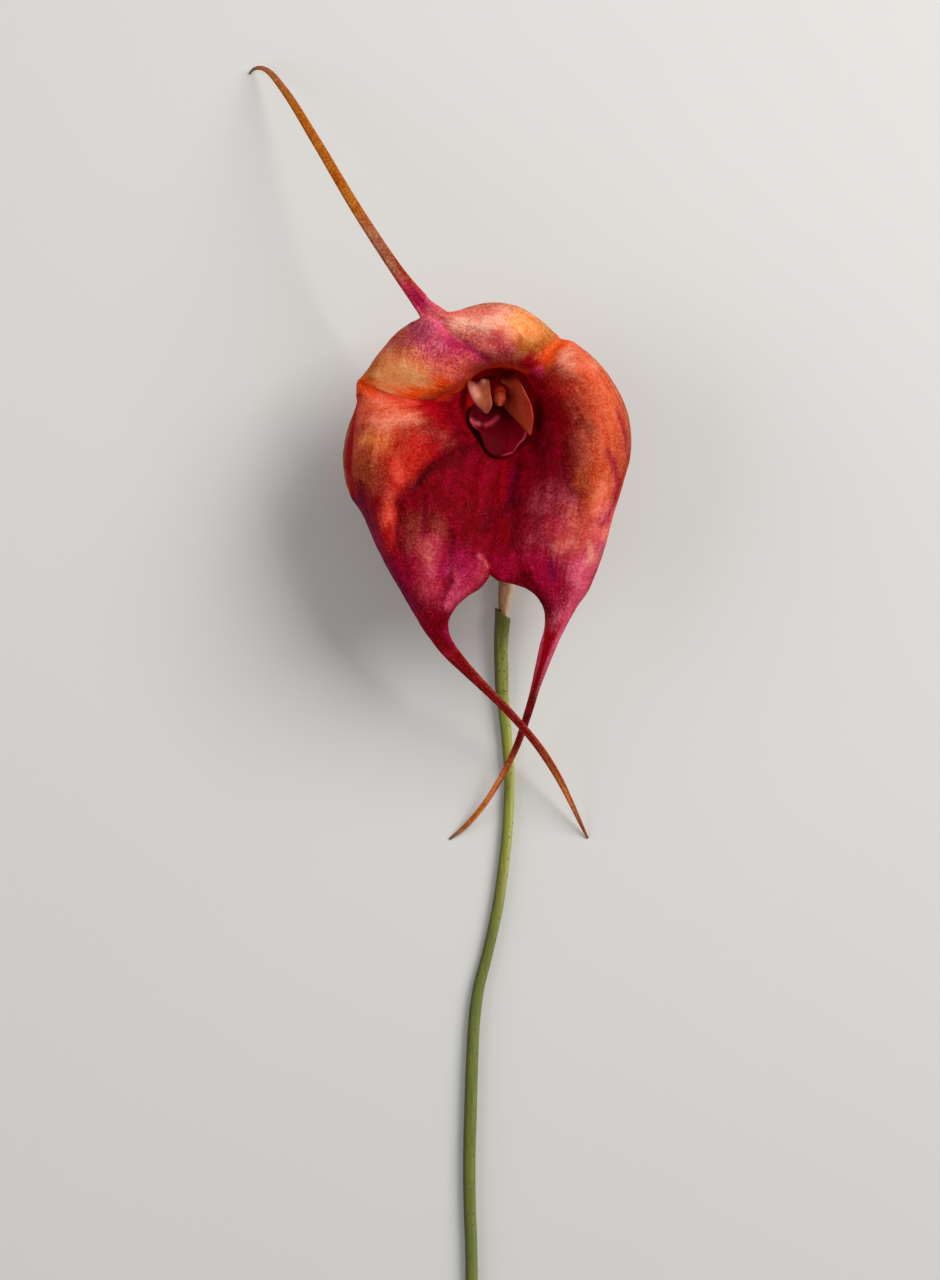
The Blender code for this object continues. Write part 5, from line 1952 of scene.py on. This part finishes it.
@dataclass(frozen=True)
class Softbox:
    """A square soft light: its power in watts, its width and its place in metres."""

    name: str
    power: float
    width: float
    place: tuple[float, float, float]

    def build(self, aim: tuple[float, float, float]) -> None:
        """Adds it to the scene.

        Args:
            aim: the point that it faces.
        """
        lamp = bpy.data.lights.new(self.name, "AREA")
        lamp.energy = self.power
        lamp.size = self.width
        holder = link(self.name, lamp)
        holder.location = self.place
        holder.rotation_euler = (Vector(aim) - Vector(self.place)).to_track_quat("-Z", "Y").to_euler()


@dataclass
class Studio:
    """A pale paper floor, soft lights and the camera above the flower."""

    floor_size: float = 6.0
    lights: tuple[Softbox, ...] = (
        Softbox("key_softbox", 10.0, 0.6, (0.62, 0.50, 0.66)),
        Softbox("fill_softbox", 2.6, 0.7, (-0.80, 0.10, 0.52)),
    )
    aim: tuple[float, float, float] = (0.0, 0.04, 0.0)
    sky: float = 0.3
    sky_colour: tuple[float, float, float, float] = (0.95, 0.97, 1.0, 1.0)
    lens_mm: float = 100.0
    sensor_mm: float = 36.0
    paper: StudioPaper = StudioPaper()

    def build(self) -> None:
        """Makes the floor, the lights and the camera."""
        half = self.floor_size / 2
        corners = np.array([(-half, -half, 0), (half, -half, 0), (half, half, 0), (-half, half, 0)], float)
        floor = make_object("studio_floor", corners, [(0, 1, 2, 3)], self.paper.material())
        for light in self.lights:
            light.build(self.aim)
        scene = bpy.context.scene
        scene.view_settings.view_transform = "Standard"
        scene.world = bpy.data.worlds.new("studio_air")
        scene.world.use_nodes = True
        tree = scene.world.node_tree
        feed(tree, tree.nodes["Background"], {"Color": self.sky_colour, "Strength": self.sky})
        camera = bpy.data.cameras.new("photo_camera")
        camera.lens = self.lens_mm
        camera.sensor_fit = "AUTO"
        camera.sensor_width = self.sensor_mm
        camera.clip_start = 0.01
        scene.camera = link("photo_camera", camera)
        scene.camera.location = (*EYE.place, EYE.height)
        log.info("studio: %s", ", ".join(f"{light.name} {light.power} W" for light in self.lights))


LEFT_PETAL = Petal(
    name="petal_left_blade",
    outer=(
        (489, 376, 11.0), (481, 379.5, 15.8), (472, 382.5, 20.0), (468.2, 381.5, 22.6),
        (469.2, 391, 23.5), (474.5, 402, 23.6), (484, 412, 23.2),
    ),
    inner=(
        (492.2, 378, 11.0), (490.5, 380.5, 15.8), (488.5, 382.5, 19.4), (488.5, 380.5, 21.6),
        (489.8, 393, 23.6), (491.5, 405, 24.2), (487.5, 413.2, 23.4),
    ),
    keel=0.6 * MM,
    keel_at=0.5,
    notch=((0.36, 2.2), (0.72, -2.6)),
    hues=(Hue.WAX, Hue.WAX_SHADE, Hue.ROSE),
    edge_path=((471, 392), (478, 404), (487, 412)),
    washes=(
        # Painted highlights on the petal's lit face and its top bump
        Wash(Hue.PEACH, 4, 0.5, ((475, 389), (477, 395))),
        Wash(Hue.PEACH, 3, 0.5, ((483, 379), (484, 381))),
        Wash(Hue.RUST, 3, 0.6, ((486, 411), (489, 406))),
    ),
)
RIGHT_PETAL = Petal(
    name="petal_right_blade",
    outer=(
        (504.4, 372.5, 11.0), (502.5, 375.5, 14.8), (501, 381, 17.2), (508.5, 388, 17.0),
        (509, 396, 15.8), (503.5, 403, 15.8), (507.5, 410.5, 17.8), (517, 420, 20.3),
        (529.5, 434.5, 22.8),
    ),
    inner=(
        (507, 370.5, 11.0), (512, 372.5, 15.2), (519, 381, 20.0), (525, 393, 22.8),
        (531, 406, 24.0), (532.8, 420, 24.2), (531, 433.5, 23.2),
    ),
    keel=0.5 * MM,
    keel_at=0.6,
    hues=(Hue.PETAL_RED, Hue.PETAL_RED, Hue.SCARLET),
    edge_path=((530, 402), (532, 418), (532, 434)),
    washes=(
        # Painted light on the upper part, which lies in the dorsal sepal's shade
        Wash(Hue.CORAL, 9, 0.8, ((506, 378), (514, 384), (519, 391))),
        Wash(Hue.LIT_CORAL, 3.5, 1.0, ((501, 376), (502, 381))),
        Wash(Hue.BRICK, 6, 0.6, ((505, 408), (515, 415))),
        Wash(Hue.CORAL, 3, 0.35, ((509, 384), (515, 396), (522, 408))),
    ),
)


def main() -> None:
    """Builds the flower, piece by piece, then the studio round it."""
    logging.basicConfig(level=logging.INFO, format="%(name)s: %(message)s", stream=sys.stdout)
    calyx = Calyx().build()
    Papillae().build(calyx)
    LEFT_PETAL.build("petal_left")
    RIGHT_PETAL.build("petal_right")
    Lip().build()
    rods = RodTree().build()
    Column().build(rods)
    Stem().build(rods)
    Studio().build()


if __name__ == "__main__":
    main()
